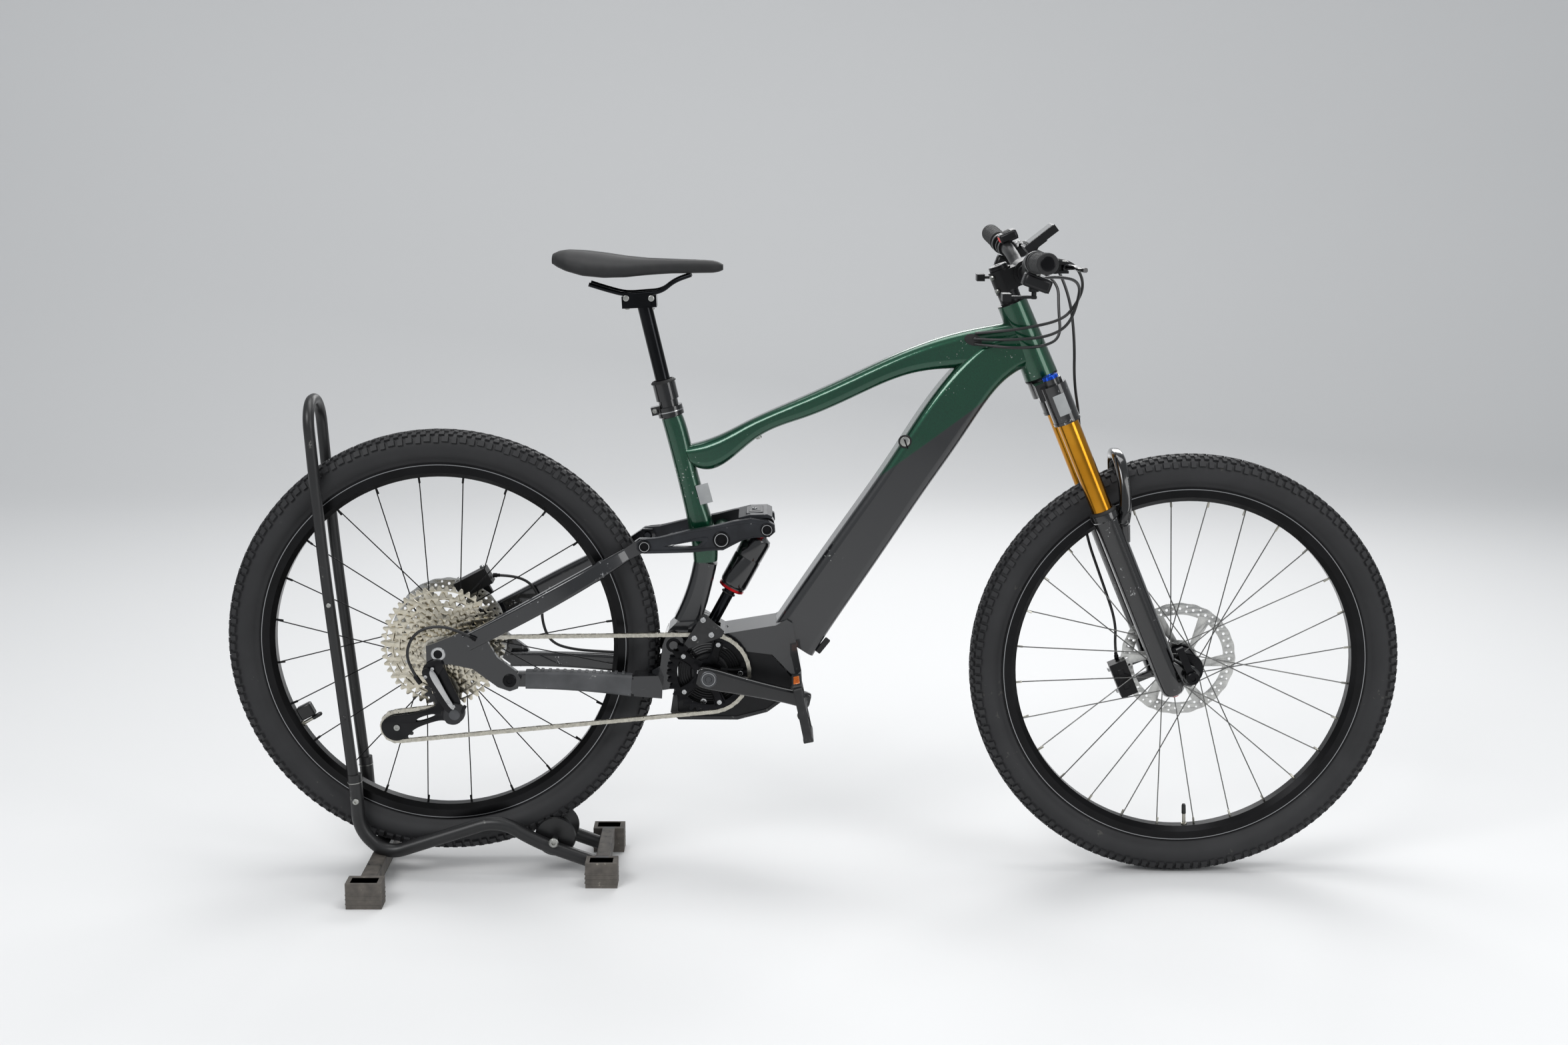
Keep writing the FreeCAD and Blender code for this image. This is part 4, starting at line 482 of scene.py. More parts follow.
black_wire = surface("black_steel_wire", ("#101011", "#1a1a1b"), (0.3, 0.4), metallic=0.8)
bright_wire = surface("stainless_wire", ("#5d5d5c", "#7b7b79"), (0.22, 0.32), metallic=1.0)
hub_black = surface("black_anodised_alloy", ("#0e0e10", "#161618"), (0.22, 0.34), metallic=0.75, grain=0.3)
brass = surface("nickelled_brass", ("#b9b7ae", "#a09d92"), (0.25, 0.35), metallic=1.0, grain=0.3)
disc_steel = surface("stamped_stainless", ("#b4b4b2", "#c6c6c3"), (0.2, 0.34), metallic=1.0, mottle=12, grain=0.35, depth=0.01)
dress(rim_material("rear"), "rear_rim")
dress(rim_material("front"), "front_rim")
dress(black_wire, "rear_spokes")
dress(bright_wire, "front_spokes")
dress(hub_black, "rear_hub", "front_hub")
for end, body, spoke_count, disc_y, flanges in (("rear", "rear_wheel", 24, 57, (-25, 34)), ("front", "front_wheel", 28, 41, (-32, 26))):
    cx, cz = (AXLES[end][0] * 1000 + WHEELBASE / 2, AXLES[end][2] * 1000)
    spoke_angle = 2 * math.pi * (np.arange(spoke_count) + 0.5) / spoke_count
    tips = np.stack([np.cos(spoke_angle), np.zeros(spoke_count), np.sin(spoke_angle)], -1)
    ring = np.linspace(0, 2 * math.pi, 8, endpoint=False)
    tangent = np.stack([-np.sin(spoke_angle), np.zeros(spoke_count), np.cos(spoke_angle)], -1)
    nipple = [AXLES[end] + (tips[:, None] * radius + width * (np.cos(ring)[None, :, None] * tangent[:, None]
              + np.sin(ring)[None, :, None] * np.array((0.0, 1.0, 0.0)))) / 1000
              for radius, width in ((281, 1.5), (282, 2.0), (293, 2.0))]
    shells = np.stack(nipple, 1).reshape(-1, 3)
    quads = []
    for k in range(spoke_count):
        quads += grid_faces(3, 8, wrap_columns=True, start=k * 24)
        quads += [list(range(k * 24, k * 24 + 8)), list(range(k * 24 + 16, k * 24 + 24))]
    mesh_object(f"{end}_nipples", shells, quads, black_wire if end == "rear" else brass, body)
    angle = np.linspace(0, 2 * math.pi, 240, endpoint=False)
    wave = 100.8 + 0.6 * np.cos(angle * 24)
    edge = np.column_stack([np.cos(angle), np.sin(angle)]) * wave[:, None]
    holes = []
    arms = 6
    for k in range(arms):
        a0 = 2 * math.pi * k / arms
        outer = np.linspace(a0 + 0.10, a0 + 0.88, 12)
        inner = np.linspace(a0 + 0.62, a0 - 0.12, 12)
        holes.append(np.vstack([np.column_stack([np.cos(outer), np.sin(outer)]) * 80,
                                np.column_stack([np.cos(inner), np.sin(inner)]) * 34]))
    for k in range(48):
        a0 = 2 * math.pi * k / 48
        for radius, size in (((86, 2.3), (95, 1.9)) if k % 2 else ((90.5, 2.6),)):
            holes.append(circle(size, 8) + np.array((math.cos(a0), math.sin(a0))) * radius)
    holes.append(circle(17, 32))
    disc = plate(f"{end}_brake_disc", [edge] + holes, disc_y - 0.9, disc_y + 0.9, disc_steel, body, 0.2, (cx, cz))
    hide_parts(f"{end}_rotor")
    spun(f"{end}_disc_lockring", AXLES[end] + np.array((0, (disc_y + 0.9) / 1000, 0)), (0, 1, 0),
         [(27, 0), (27, 1.4), (22 + 1.2 * np.cos(np.linspace(0, 2 * math.pi, 96, endpoint=False) * 16), 2.6), (9.6, 2.6)],
         hub_black, body, 96)
    for side, flange_y in zip((-1, 1), flanges):
        turned_ring(f"{end}_hub_flange_{'right' if side < 0 else 'left'}", AXLES[end] + np.array((0, flange_y / 1000, 0)), (0, 1, 0),
                    [(26, -1.4), (29.4, -1.8), (30, 0), (29.4, 1.8), (26, 1.4)], hub_black, body, 64)

VALVES = {"rear": (math.radians(210.5), "rear_wheel"), "front": (math.radians(-87), "front_wheel")}
valve_black = surface("valve_cap_plastic", ("#0c0c0c", "#131313"), (0.3, 0.4))
for end, (angle, body) in VALVES.items():
    inward = np.array((-math.cos(angle), 0, -math.sin(angle)))
    root = AXLES[end] - inward * 0.2925
    spun(f"{end}_valve_nut", root, inward, [(5, 0), (5, 2.6), (3, 3.2)], brass, body, 24)
    spun(f"{end}_valve_stem", root, inward, [(3, 0), (3, 22), (2.4, 23)], brass, body, 20)
    spun(f"{end}_valve_cap", root + inward * 0.020, inward, [(3.4, 0), (3.9, 1), (3.7, 15), (2.4, 18)], valve_black, body, 20)
lean = math.degrees(VALVES["rear"][0] - 0.06)
block("rim_magnet", AXLES["rear"] + np.array((math.cos(VALVES["rear"][0] - 0.06), 0, math.sin(VALVES["rear"][0] - 0.06))) * 0.276,
      (27, 18, 24), lean, valve_black, "rear_wheel", 3)

# ---------------------------------------------------------------- drivetrain
# Twelve stamped and machined steel cogs with lightening windows, a nickel-plated roller chain, a black
# alloy chainring with tall narrow and wide teeth, forged hollow-look cranks and a clutched derailleur.
LINK = 12.7
COGS = (51, 45, 39, 33, 28, 24, 21, 18, 16, 14, 12, 10)
COG_PITCH = 3.6
CASSETTE_START = -29.4
COG_Y = CASSETTE_START - 10.5 * COG_PITCH - 1
RING_Y = -55.0
PLATE_OUT = 84.0


def pitch_radius(teeth):
    """Radius in mm on which the chain's pins run on that many teeth."""
    return LINK / (2 * math.sin(math.pi / teeth))


def toothed(teeth, tip=3.4, root=4.2, steps=10, phase=0.0):
    """Sprocket edge: at each angle the pitch radius plus a rounded tooth or minus a roller's seat."""
    angle = np.linspace(0, 2 * math.pi, teeth * steps, endpoint=False)
    wave = np.cos(angle * teeth)
    lift = np.where(wave > 0, tip * np.clip(wave * 1.5, 0, 1) ** 0.8, root * wave)
    radius = pitch_radius(teeth) + lift
    return np.column_stack([np.cos(angle + phase), np.sin(angle + phase)]) * radius[:, None]


def window(inner, outer, start, end, count=10):
    """Hole between two radii in mm and two angles, with leaning sides."""
    first = np.linspace(start, end, count)
    second = np.linspace(end - 0.04, start + 0.04, count)
    return np.vstack([np.column_stack([np.cos(first), np.sin(first)]) * outer,
                      np.column_stack([np.cos(second), np.sin(second)]) * inner])


cog_steel = surface("machined_cog_steel", ("#c2bba9", "#d2ccbd"), (0.2, 0.32), metallic=1.0, mottle=9, grain=0.4, depth=0.008)
for index, teeth in enumerate(COGS):
    near = CASSETTE_START - (index + 0.5) * COG_PITCH
    holes = [circle(16.5 if teeth > 14 else 15.6, 28)] if teeth > 10 else [circle(13.5, 24)]
    if index < 9:
        smaller = pitch_radius(COGS[index + 1])
        count = (20, 18, 15, 14, 12, 10, 10, 9, 8)[index]
        step = 2 * math.pi / count
        outer = pitch_radius(teeth) - 6.4
        inner = max(smaller - 3.5, outer - 8)
        if outer - inner > 2.2:
            holes += [window(inner, outer, k * step, (k + 0.66) * step) for k in range(count)]
        if index < 5:
            holes += [window(24, smaller - 9, k * math.pi / 3 + index * 0.15, (k + 0.72) * math.pi / 3 + index * 0.15)
                      for k in range(6)]
    cog = plate(f"cog_{teeth}", [toothed(teeth)] + holes, near - 0.9, near + 0.9, cog_steel, "cassette", 0.25, (0, 410))
    if index == 0:
        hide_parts("cassette")
spun("cassette_carrier", rear(0, 410, CASSETTE_START - 0.8), (0, -1, 0),
     [(24, 0), (24, 2), (17, 4), (16.4, 41), (14, 42.2), (9.5, 42.6), (9.5, 38)], hub_black, "cassette", 64)
spun("cassette_lockring", rear(0, 410, CASSETTE_START - 42.4), (0, -1, 0),
     [(15.4, 0), (15.4, 0.9), (12.4 + 0.7 * np.cos(np.linspace(0, 2 * math.pi, 96, endpoint=False) * 12), 1.0), (9.5, 0.6)],
     cog_steel, "cassette", 96)


def tangent(centre_a, radius_a, centre_b, radius_b, side_a, side_b):
    """Points where a line leaves circle a and meets circle b, each on its side (+1 left of travel)."""
    span = centre_b - centre_a
    lean = math.asin((side_a * radius_a - side_b * radius_b) / np.hypot(*span))
    heading = math.atan2(span[1], span[0]) - lean
    normal = np.array((-math.sin(heading), math.cos(heading)))
    return centre_a + normal * side_a * radius_a, centre_b + normal * side_b * radius_b


RING_C, COG_C, UPPER_C, LOWER_C = (np.array(p, float) for p in ((458, 370), (0, 410), (2, 341), (-75, 278)))
RING_R, COG_R, JOCKEY_R = pitch_radius(34), pitch_radius(12), pitch_radius(13)
top_ring, top_cog = tangent(RING_C, RING_R, COG_C, COG_R, -1, -1)
cog_exit, upper_in = tangent(COG_C, COG_R, UPPER_C, JOCKEY_R, -1, 1)
upper_out, lower_in = tangent(UPPER_C, JOCKEY_R, LOWER_C, JOCKEY_R, 1, -1)
lower_out, ring_in = tangent(LOWER_C, JOCKEY_R, RING_C, RING_R, -1, -1)


def wrap(centre, first, last, turn):
    """Arc of points round a sprocket from its first contact to its last."""
    a = math.atan2(first[1] - centre[1], first[0] - centre[0])
    b = math.atan2(last[1] - centre[1], last[0] - centre[0])
    while (b - a) * turn <= 0:
        b += turn * 2 * math.pi
    angle = np.linspace(a, b, 60)
    return centre + np.column_stack([np.cos(angle), np.sin(angle)]) * np.hypot(*(first - centre))


stretches = [np.column_stack([np.linspace(top_ring, top_cog, 60), np.linspace(RING_Y, COG_Y, 60)])]
for centre, first, last, turn in ((COG_C, top_cog, cog_exit, 1), (UPPER_C, upper_in, upper_out, -1),
                                  (LOWER_C, lower_in, lower_out, 1)):
    arc = wrap(centre, first, last, turn)
    stretches.append(np.column_stack([arc, np.full(60, COG_Y)]))
stretches.append(np.column_stack([np.linspace(lower_out, ring_in, 60), np.linspace(COG_Y, RING_Y, 60)]))
arc = wrap(RING_C, ring_in, top_ring, 1)
stretches.append(np.column_stack([arc, np.full(60, RING_Y)]))
loop = np.vstack(stretches)
loop = loop[np.concatenate([[True], np.linalg.norm(np.diff(loop, axis=0), axis=1) > 1e-6])]
travelled = np.concatenate([[0], np.cumsum(np.linalg.norm(np.diff(loop, axis=0), axis=1))])
link_count = int(round(travelled[-1] / LINK / 2)) * 2
stations = np.linspace(0, travelled[-1], link_count, endpoint=False)
pins = np.column_stack([np.interp(stations, travelled, loop[:, k]) for k in range(3)])
# One link plate: a figure of eight 8.4 mm tall, waisted between its pins.
angle = np.linspace(0, 2 * math.pi, 18, endpoint=False)
figure = np.column_stack([np.where(np.cos(angle) > 0, LINK, 0) + 4.0 * np.cos(angle),
                          np.where(np.abs(np.cos(angle)) < 0.25, 3.3, 4.0) * np.sin(angle)])
after = np.roll(pins, -1, axis=0)
along = after - pins
along /= np.linalg.norm(along, axis=1)[:, None]
flat_up = np.column_stack([-along[:, 1], along[:, 0], np.zeros(link_count)])
flat_up /= np.linalg.norm(flat_up, axis=1)[:, None]
outer_link = (np.arange(link_count) % 2).astype(float)
vertices, faces = [], []
start = 0
for side in (-1, 1):
    for face_y in (0, 1):
        level = side * ((1.55 + 0.95 * outer_link) + face_y * 0.8)
        shape = pins[:, None] + figure[None, :, :1] * along[:, None] + figure[None, :, 1:] * flat_up[:, None]
        shape = shape + np.array((0, 0, 1.0)) * level[:, None, None]
        vertices.append(shape)
plates = np.stack(vertices, 1).reshape(-1, 3)
count = len(figure)
for k in range(2):
    base = (np.arange(link_count)[:, None, None] * 4 + k * 2) * count
    ring = np.arange(count)
    quads = np.stack([ring, (ring + 1) % count, (ring + 1) % count + count, ring + count], -1)[None]
    faces += (base + quads).reshape(-1, 4).tolist()
    faces += (base[:, 0] + ring).tolist() + (base[:, 0] + ring + count).tolist()
total = len(plates)
roll = np.linspace(0, 2 * math.pi, 10, endpoint=False)
barrels = []
for radius, half in ((3.8, 1.5), (1.9, 3.7)):
    for y in (-half, half):
        barrels.append(np.stack([pins[:, None, 0] + radius * np.cos(roll), pins[:, None, 1] + radius * np.sin(roll),
                                 np.broadcast_to(pins[:, None, 2] + y, (link_count, 10))], -1))
pairs = np.stack(barrels, 1).reshape(-1, 3)
for k in range(2):
    base = total + (np.arange(link_count)[:, None, None] * 4 + k * 2) * 10
    ring = np.arange(10)
    quads = np.stack([ring, (ring + 1) % 10, (ring + 1) % 10 + 10, ring + 10], -1)[None]
    faces += (base + quads).reshape(-1, 4).tolist()
    faces += (base[:, 0] + ring).tolist() + (base[:, 0] + ring + 10).tolist()
every = np.vstack([plates, pairs])
chain_nickel = surface("nickel_plated_chain", ("#a9a69c", "#c6c2b6"), (0.22, 0.36), metallic=1.0, mottle=6, grain=0.5,
                       chips=("#2a2724", 0.40), chip_size=3)
chain = mesh_object("chain_links", np.column_stack([every[:, 0] - WHEELBASE / 2, every[:, 2], every[:, 1]]) / 1000, faces,
                    chain_nickel, "frame", 40)
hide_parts("chain")

ring_black = surface("hard_anodised_ring", ("#0f0f10", "#17171a"), (0.25, 0.36), metallic=0.8, grain=0.3,
                     chips=("#9c9a94", 0.40), chip_size=3)
polished = surface("bare_machined_alloy", ("#a8a9aa", "#bdbdbd"), (0.16, 0.26), metallic=1.0, grain=0.3)
holes = [circle(15, 32)] + [window(26, 55, 2 * math.pi * k / 5 + 0.22, 2 * math.pi * k / 5 + 1.1, 14) for k in range(5)]
ring = plate("chainring_teeth", [toothed(34, 4.0, 4.0)] + holes, RING_Y - 1.6, RING_Y + 1.6, ring_black, "cranks", 0.4, (458, 370))
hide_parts("chainring")
for k in range(5):
    middle = 2 * math.pi * k / 5 + 0.02
    out = np.array((math.cos(middle), 0, math.sin(middle)))
    centre = rear(458, 370, RING_Y - 1.8)
    path = np.linspace(centre + out * 0.020, centre + out * 0.058, 12)
    width = np.interp(np.linspace(0, 1, 12), (0, 0.5, 1), (10.5, 7.5, 8.5))
    section = np.stack([np.stack([w * np.array((-1, -0.7, 0.7, 1)), np.array((0, -2.2, -2.2, 0))], -1) for w in width])
    carried(f"spider_arm_{k}", path, section, ring_black, "cranks", 40)
    hexed(f"ring_bolt_{k}", centre + out * 0.0535 + np.array((0, -0.0021, 0)), (0, -1, 0), 4.2, 1.3, 4.4, polished, "cranks")

crank_gloss = coated(surface("gloss_black_forging", ("#0b0b0c", "#101012"), (0.22, 0.3), metallic=0.55, grain=0.4,
                             chips=("#a3a29e", 0.385), chip_size=6), 0.7, 0.06)
satin_cap = surface("satin_grey_cap", ("#4b4c4e", "#58595b"), (0.32, 0.42), metallic=0.8, grain=0.3)
LEAN = math.atan2(336 - 370, 615 - 458)
ARM_DIR = np.array((math.cos(LEAN), 0, math.sin(LEAN)))


def rounded_section(depth, width, corner, count=10):
    """Rounded rectangle in mm, count points to each corner."""
    quarter = np.linspace(0, math.pi / 2, count)
    parts = []
    for k, (a, b) in enumerate(((1, 1), (-1, 1), (-1, -1), (1, -1))):
        turned = quarter + k * math.pi / 2
        parts.append(np.column_stack([a * (depth / 2 - corner) + corner * np.cos(turned),
                                      b * (width / 2 - corner) + corner * np.sin(turned)]))
    return np.vstack(parts)


def limb(name, rows, material, body, count=40, sharp=35):
    """Smooth tube through rows of (centre in metres, depth, width and corner in mm)."""
    flat = np.array([(*centre, depth, width, corner) for centre, depth, width, corner in rows], float)
    fine = smooth_path(flat, count)
    sections = np.stack([rounded_section(d, w, min(c, d / 2 - 0.1, w / 2 - 0.1)) for d, w, c in fine[:, 3:]])
    return carried(name, fine[:, :3], sections, material, body, sharp)


for side in (-1, 1):
    tag = "right" if side < 0 else "left"
    out = ARM_DIR * -side
    boss = rear(458, 370)
    tip = boss + out * 0.162
    across = np.array((0, side / 1000, 0))
    rows = [(boss - out * 0.019 + across * 86, 30, 12.5, 6), (boss - out * 0.012 + across * 86, 36.5, 14.5, 6),
            (boss + out * 0.012 + across * 86.5, 37.5, 15.5, 6), (boss + out * 0.045 + across * 88, 33, 15.5, 6),
            (boss + out * 0.090 + across * 89.5, 28.5, 15.5, 6), (boss + out * 0.135 + across * 91, 26.5, 15, 6),
            (tip + across * 92, 28.5, 14.5, 6), (tip + out * 0.012 + across * 92, 25, 13, 6),
            (tip + out * 0.0145 + across * 92, 18, 10, 4)]
    arm = limb(f"crank_arm_{tag}", rows, crank_gloss, "cranks", 60)
    if side < 0:
        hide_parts("crank_arms")
    spun(f"crank_spindle_{tag}", boss, (0, side, 0), [(13.9, 0), (13.9, 81), (15, 82)], hub_black, "cranks", 48)
    spun(f"crank_cap_{tag}", boss + across * 93.4, (0, side, 0), [(14.5, 0), (14.5, 1.6), (13.4, 2.4), (6, 2.6), (5, 1.4)],
         satin_cap, "cranks", 64)
    turned_ring(f"crank_cap_line_{tag}", boss + across * 95.2, (0, side, 0), [(10.6, 0), (10.6, 1), (11.4, 1), (11.4, 0)],
                polished, "cranks", 64)
    hexed(f"crank_pinch_bolt_{tag}", boss - out * 0.0185 + across * 84 + np.array((0, 0, 0.006)), tuple(-out), 3.4, 2.0, 3.6, polished, "cranks")
    spun(f"pedal_spindle_{tag}", tip, (0, side, 0), [(4.9, 88), (4.9, 168)], zinc, "cranks", 24)
    turned_ring(f"pedal_washer_{tag}", tip + across * 99.3, (0, side, 0), [(5.2, 0), (5.2, 1.2), (9, 1.2), (9, 0)], zinc, "cranks", 32)

pedal_plastic = surface("moulded_pedal_plastic", ("#101011", "#19191a"), (0.42, 0.6), mottle=12, grain=0.7, depth=0.03,
                        chips=("#4f4e4c", 0.385), chip_size=5)
amber, tree, shader = empty_material("amber_reflector")
place = add(tree, "ShaderNodeTexCoord").outputs["Object"]
prisms = add(tree, "ShaderNodeTexVoronoi", Vector=place, Scale=420.0)
glow = add(tree, "ShaderNodeMix", {"data_type": "RGBA"}, n0=prisms.outputs["Distance"], n6=linear("#ff8a12"), n7=linear("#a83c04"))
tree.links.new(glow.outputs[2], shader.inputs["Base Color"])
facets = add(tree, "ShaderNodeBump", Strength=1.0, Distance=0.0004, Height=prisms.outputs["Distance"])
tree.links.new(facets.outputs["Normal"], shader.inputs["Normal"])
shader.inputs["Roughness"].default_value = 0.16
shader.inputs["Coat Weight"].default_value = 1.0
TILT = math.radians(-78)
PEDAL_LONG = np.array((math.cos(TILT), 0, math.sin(TILT)))
PEDAL_UP = np.array((-math.sin(TILT), 0, math.cos(TILT)))
for side in (-1, 1):
    tag = "right" if side < 0 else "left"
    hub = rear(458, 370) - ARM_DIR * side * 0.162 + np.array((0, side * 0.149, 0))
    body = f"pedal_{tag}"
    core = turned_ring(f"pedal_core_{tag}", hub, (0, 1, 0), [(5.2, -45), (8.6, -45), (9.4, -40), (8.2, -30), (8.2, 30), (9.4, 40), (8.6, 45), (5.2, 45)],
                       pedal_plastic, body, 40)
    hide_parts(body)
    for end_side in (-1, 1):
        block(f"pedal_bar_{tag}_{end_side + 1}", hub + PEDAL_LONG * end_side * 0.0465, (7, 74, 17), -78, pedal_plastic, body, 1.6)
        block(f"pedal_reflector_{tag}_{end_side + 1}", hub + PEDAL_LONG * end_side * 0.0492, (3, 44, 10.5), -78, amber, body, 0.8)
        block(f"pedal_side_{tag}_{end_side + 1}", hub + np.array((0, end_side * 0.0415, 0)), (94, 8, 14.5), -78, pedal_plastic, body, 2)
        for k in range(5):
            y = (k - 2) * 0.0165
            for face in (-1, 1):
                spun(f"pedal_stud_{tag}_{end_side + 1}_{k}_{face + 1}", hub + PEDAL_LONG * end_side * 0.0465 + PEDAL_UP * face * 0.0080
                     + np.array((0, y, 0)), tuple(PEDAL_UP * face), [(2.6, -1.2), (2.2, 0.45)], pedal_plastic, body, 10)
    for k in (-1, 1):
        block(f"pedal_rib_{tag}_{k + 1}", hub + np.array((0, k * 0.021, 0)), (92, 5, 10), -78, pedal_plastic, body, 1)

mech_black = surface("black_mech_alloy", ("#111113", "#1a1a1c"), (0.26, 0.4), metallic=0.6, grain=0.4,
                     chips=("#77756f", 0.39), chip_size=4)
mech_plastic = surface("glass_filled_nylon", ("#141416", "#1d1d1f"), (0.4, 0.52), grain=0.6, depth=0.02)


def softened(points, rounds=2):
    """Corner-cutting of a closed outline: each corner gives way to points a quarter along its sides."""
    loop = np.asarray(points, float)
    for _ in range(rounds):
        after = np.roll(loop, -1, axis=0)
        loop = np.stack([loop * 0.75 + after * 0.25, loop * 0.25 + after * 0.75], 1).reshape(-1, 2)
    return loop


hanger = plate("mech_hanger", [softened([(-24, 371), (-6, 368), (10, 386), (8, 399), (-8, 402), (-27, 390)])], -PLATE_OUT - 8,
               -PLATE_OUT - 0.4, mech_black, "rear_end", 1.2)
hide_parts("derailleur_body")
hexed("mech_mount_bolt", rear(-17, 379, -PLATE_OUT - 8), (0, -1, 0), 8.4, 3, 6, mech_black, "rear_end")
plate("mech_outer_link", [softened([(-29, 384), (-14, 392), (-2, 374), (22, 332), (30, 312), (16, 308), (4, 326), (-20, 366)])],
      -PLATE_OUT - 13.4, -PLATE_OUT - 8.4, mech_black, "rear_end", 1.2)
plate("mech_polished_link", [softened([(-12, 388), (-4, 384), (14, 346), (30, 318), (22, 316), (6, 342), (-14, 376)])],
      -PLATE_OUT - 15.2, -PLATE_OUT - 13.6, polished, "rear_end", 0.4)
plate("mech_inner_link", [softened([(-8, 398), (10, 392), (24, 356), (40, 322), (30, 312), (14, 330), (-2, 362)])],
      -PLATE_OUT - 6, -PLATE_OUT - 1, mech_black, "rear_end", 1.0)
spun("mech_knuckle", rear(24, 306, -PLATE_OUT + 4), (0, -1, 0), [(16, 0), (17.4, 2), (17.4, 14), (15, 17)], mech_plastic, "rear_end", 56)
plate("mech_clutch_box", [softened([(10, 292), (22, 288), (42, 296), (46, 314), (36, 326), (20, 326), (8, 312)], 3)], -PLATE_OUT - 12.4,
      -PLATE_OUT - 1, mech_plastic, "rear_end", 2.2)
spun("mech_clutch_cap", rear(27, 307, -PLATE_OUT - 12.2), (0, -1, 0), [(9.4, 0), (9.2, 1.2), (7.6, 1.8), (4, 1.4)], satin_cap, "rear_end", 40)
block("mech_clutch_lever", rear(42, 316, -PLATE_OUT - 11), (16, 3.4, 6), 62, mech_black, "rear_end", 1)
spun("mech_barrel", rear(-33, 363, -PLATE_OUT - 3), (0.55, 0, -0.83), [(3.4, -12), (4.3, -11), (4.3, 3), (3.2, 5)], mech_black, "rear_end", 24)
for k, (x, z) in enumerate(((-8, 388), (17, 330), (26, 322), (-20, 374))):
    hexed(f"mech_pin_{k}", rear(x, z, -PLATE_OUT - 13.2), (0, -1, 0), 3.1, 2.6, 3, polished, "rear_end")
CAGE = [(20, 286), (36, 297), (36, 312), (20, 328), (14, 350), (2, 362), (-14, 352), (-12, 338), (-2, 322), (-14, 312), (-60, 300),
        (-84, 300), (-104, 286), (-98, 262), (-76, 252), (-56, 262), (-46, 276), (-14, 288), (4, 292)]
for k, y in enumerate((COG_Y - 7.2, COG_Y + 6.6)):
    holes = [softened([(-44, 284), (-8, 296), (-10, 304), (-42, 294)]), softened([(4, 322), (12, 316), (8, 334), (0, 336)])]
    made = plate(f"mech_cage_{'outer' if k == 0 else 'inner'}", [softened(CAGE, 3)] + holes, y - 1.0, y + 1.0, mech_black, "cage", 0.4)
    if k == 0:
        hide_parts("derailleur_cage")
jockey_plastic = surface("jockey_wheel_plastic", ("#131314", "#1c1c1d"), (0.36, 0.5), grain=0.6)
for tag, (x, z) in (("upper", (2, 341)), ("lower", (-75, 278))):
    spins = f"{tag}_jockey"
    holes = [circle(4.2, 20)] + [window(11, 17, k * math.pi * 2 / 5 + 0.2, k * math.pi * 2 / 5 + 0.95, 6) for k in range(5)]
    wheel = plate(f"{tag}_jockey_teeth", [toothed(13, 3.2, 3.6)] + holes, COG_Y - 1.5, COG_Y + 1.5, jockey_plastic, spins, 0.3, (x, z))
    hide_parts(f"{tag}_jockey_wheel")
    turned_ring(f"{tag}_jockey_bearing", rear(x, z, COG_Y), (0, 1, 0), [(4.2, -4.6), (9, -4.6), (9.4, -2), (9.4, 2), (9, 4.6), (4.2, 4.6)],
                zinc, spins, 32)
    spun(f"{tag}_jockey_axle", rear(x, z, COG_Y), (0, -1, 0), [(3.9, -7.6), (3.9, 8.4), (5.2, 8.4), (5.2, 10), (2.2, 10), (2.2, 9)],
         zinc, "cage", 32)

# ---------------------------------------------------------------- frame, pack and motor
# Hydroformed alloy frame in deep emerald flake under gloss lacquer, fading to blue-black low down; the pack
# slides into the down tube behind a gloss cover with a lock; the motor sits under a ribbed nylon guard.


STEER_UP = np.array((-math.cos(math.radians(67)), 0, math.sin(math.radians(67))))
STEER_AHEAD = np.array((math.sin(math.radians(67)), 0, math.cos(math.radians(67))))
STEER_FOOT = np.array((0.6405, 0, 0.3725)) - STEER_AHEAD * 0.044


def steer(along, ahead=0.0, y=0.0):
    """Point in metres on the steering axis, mm above its foot, ahead of the axis and across."""
    return STEER_FOOT + (STEER_UP * along + STEER_AHEAD * ahead) / 1000 + np.array((0, y / 1000, 0))


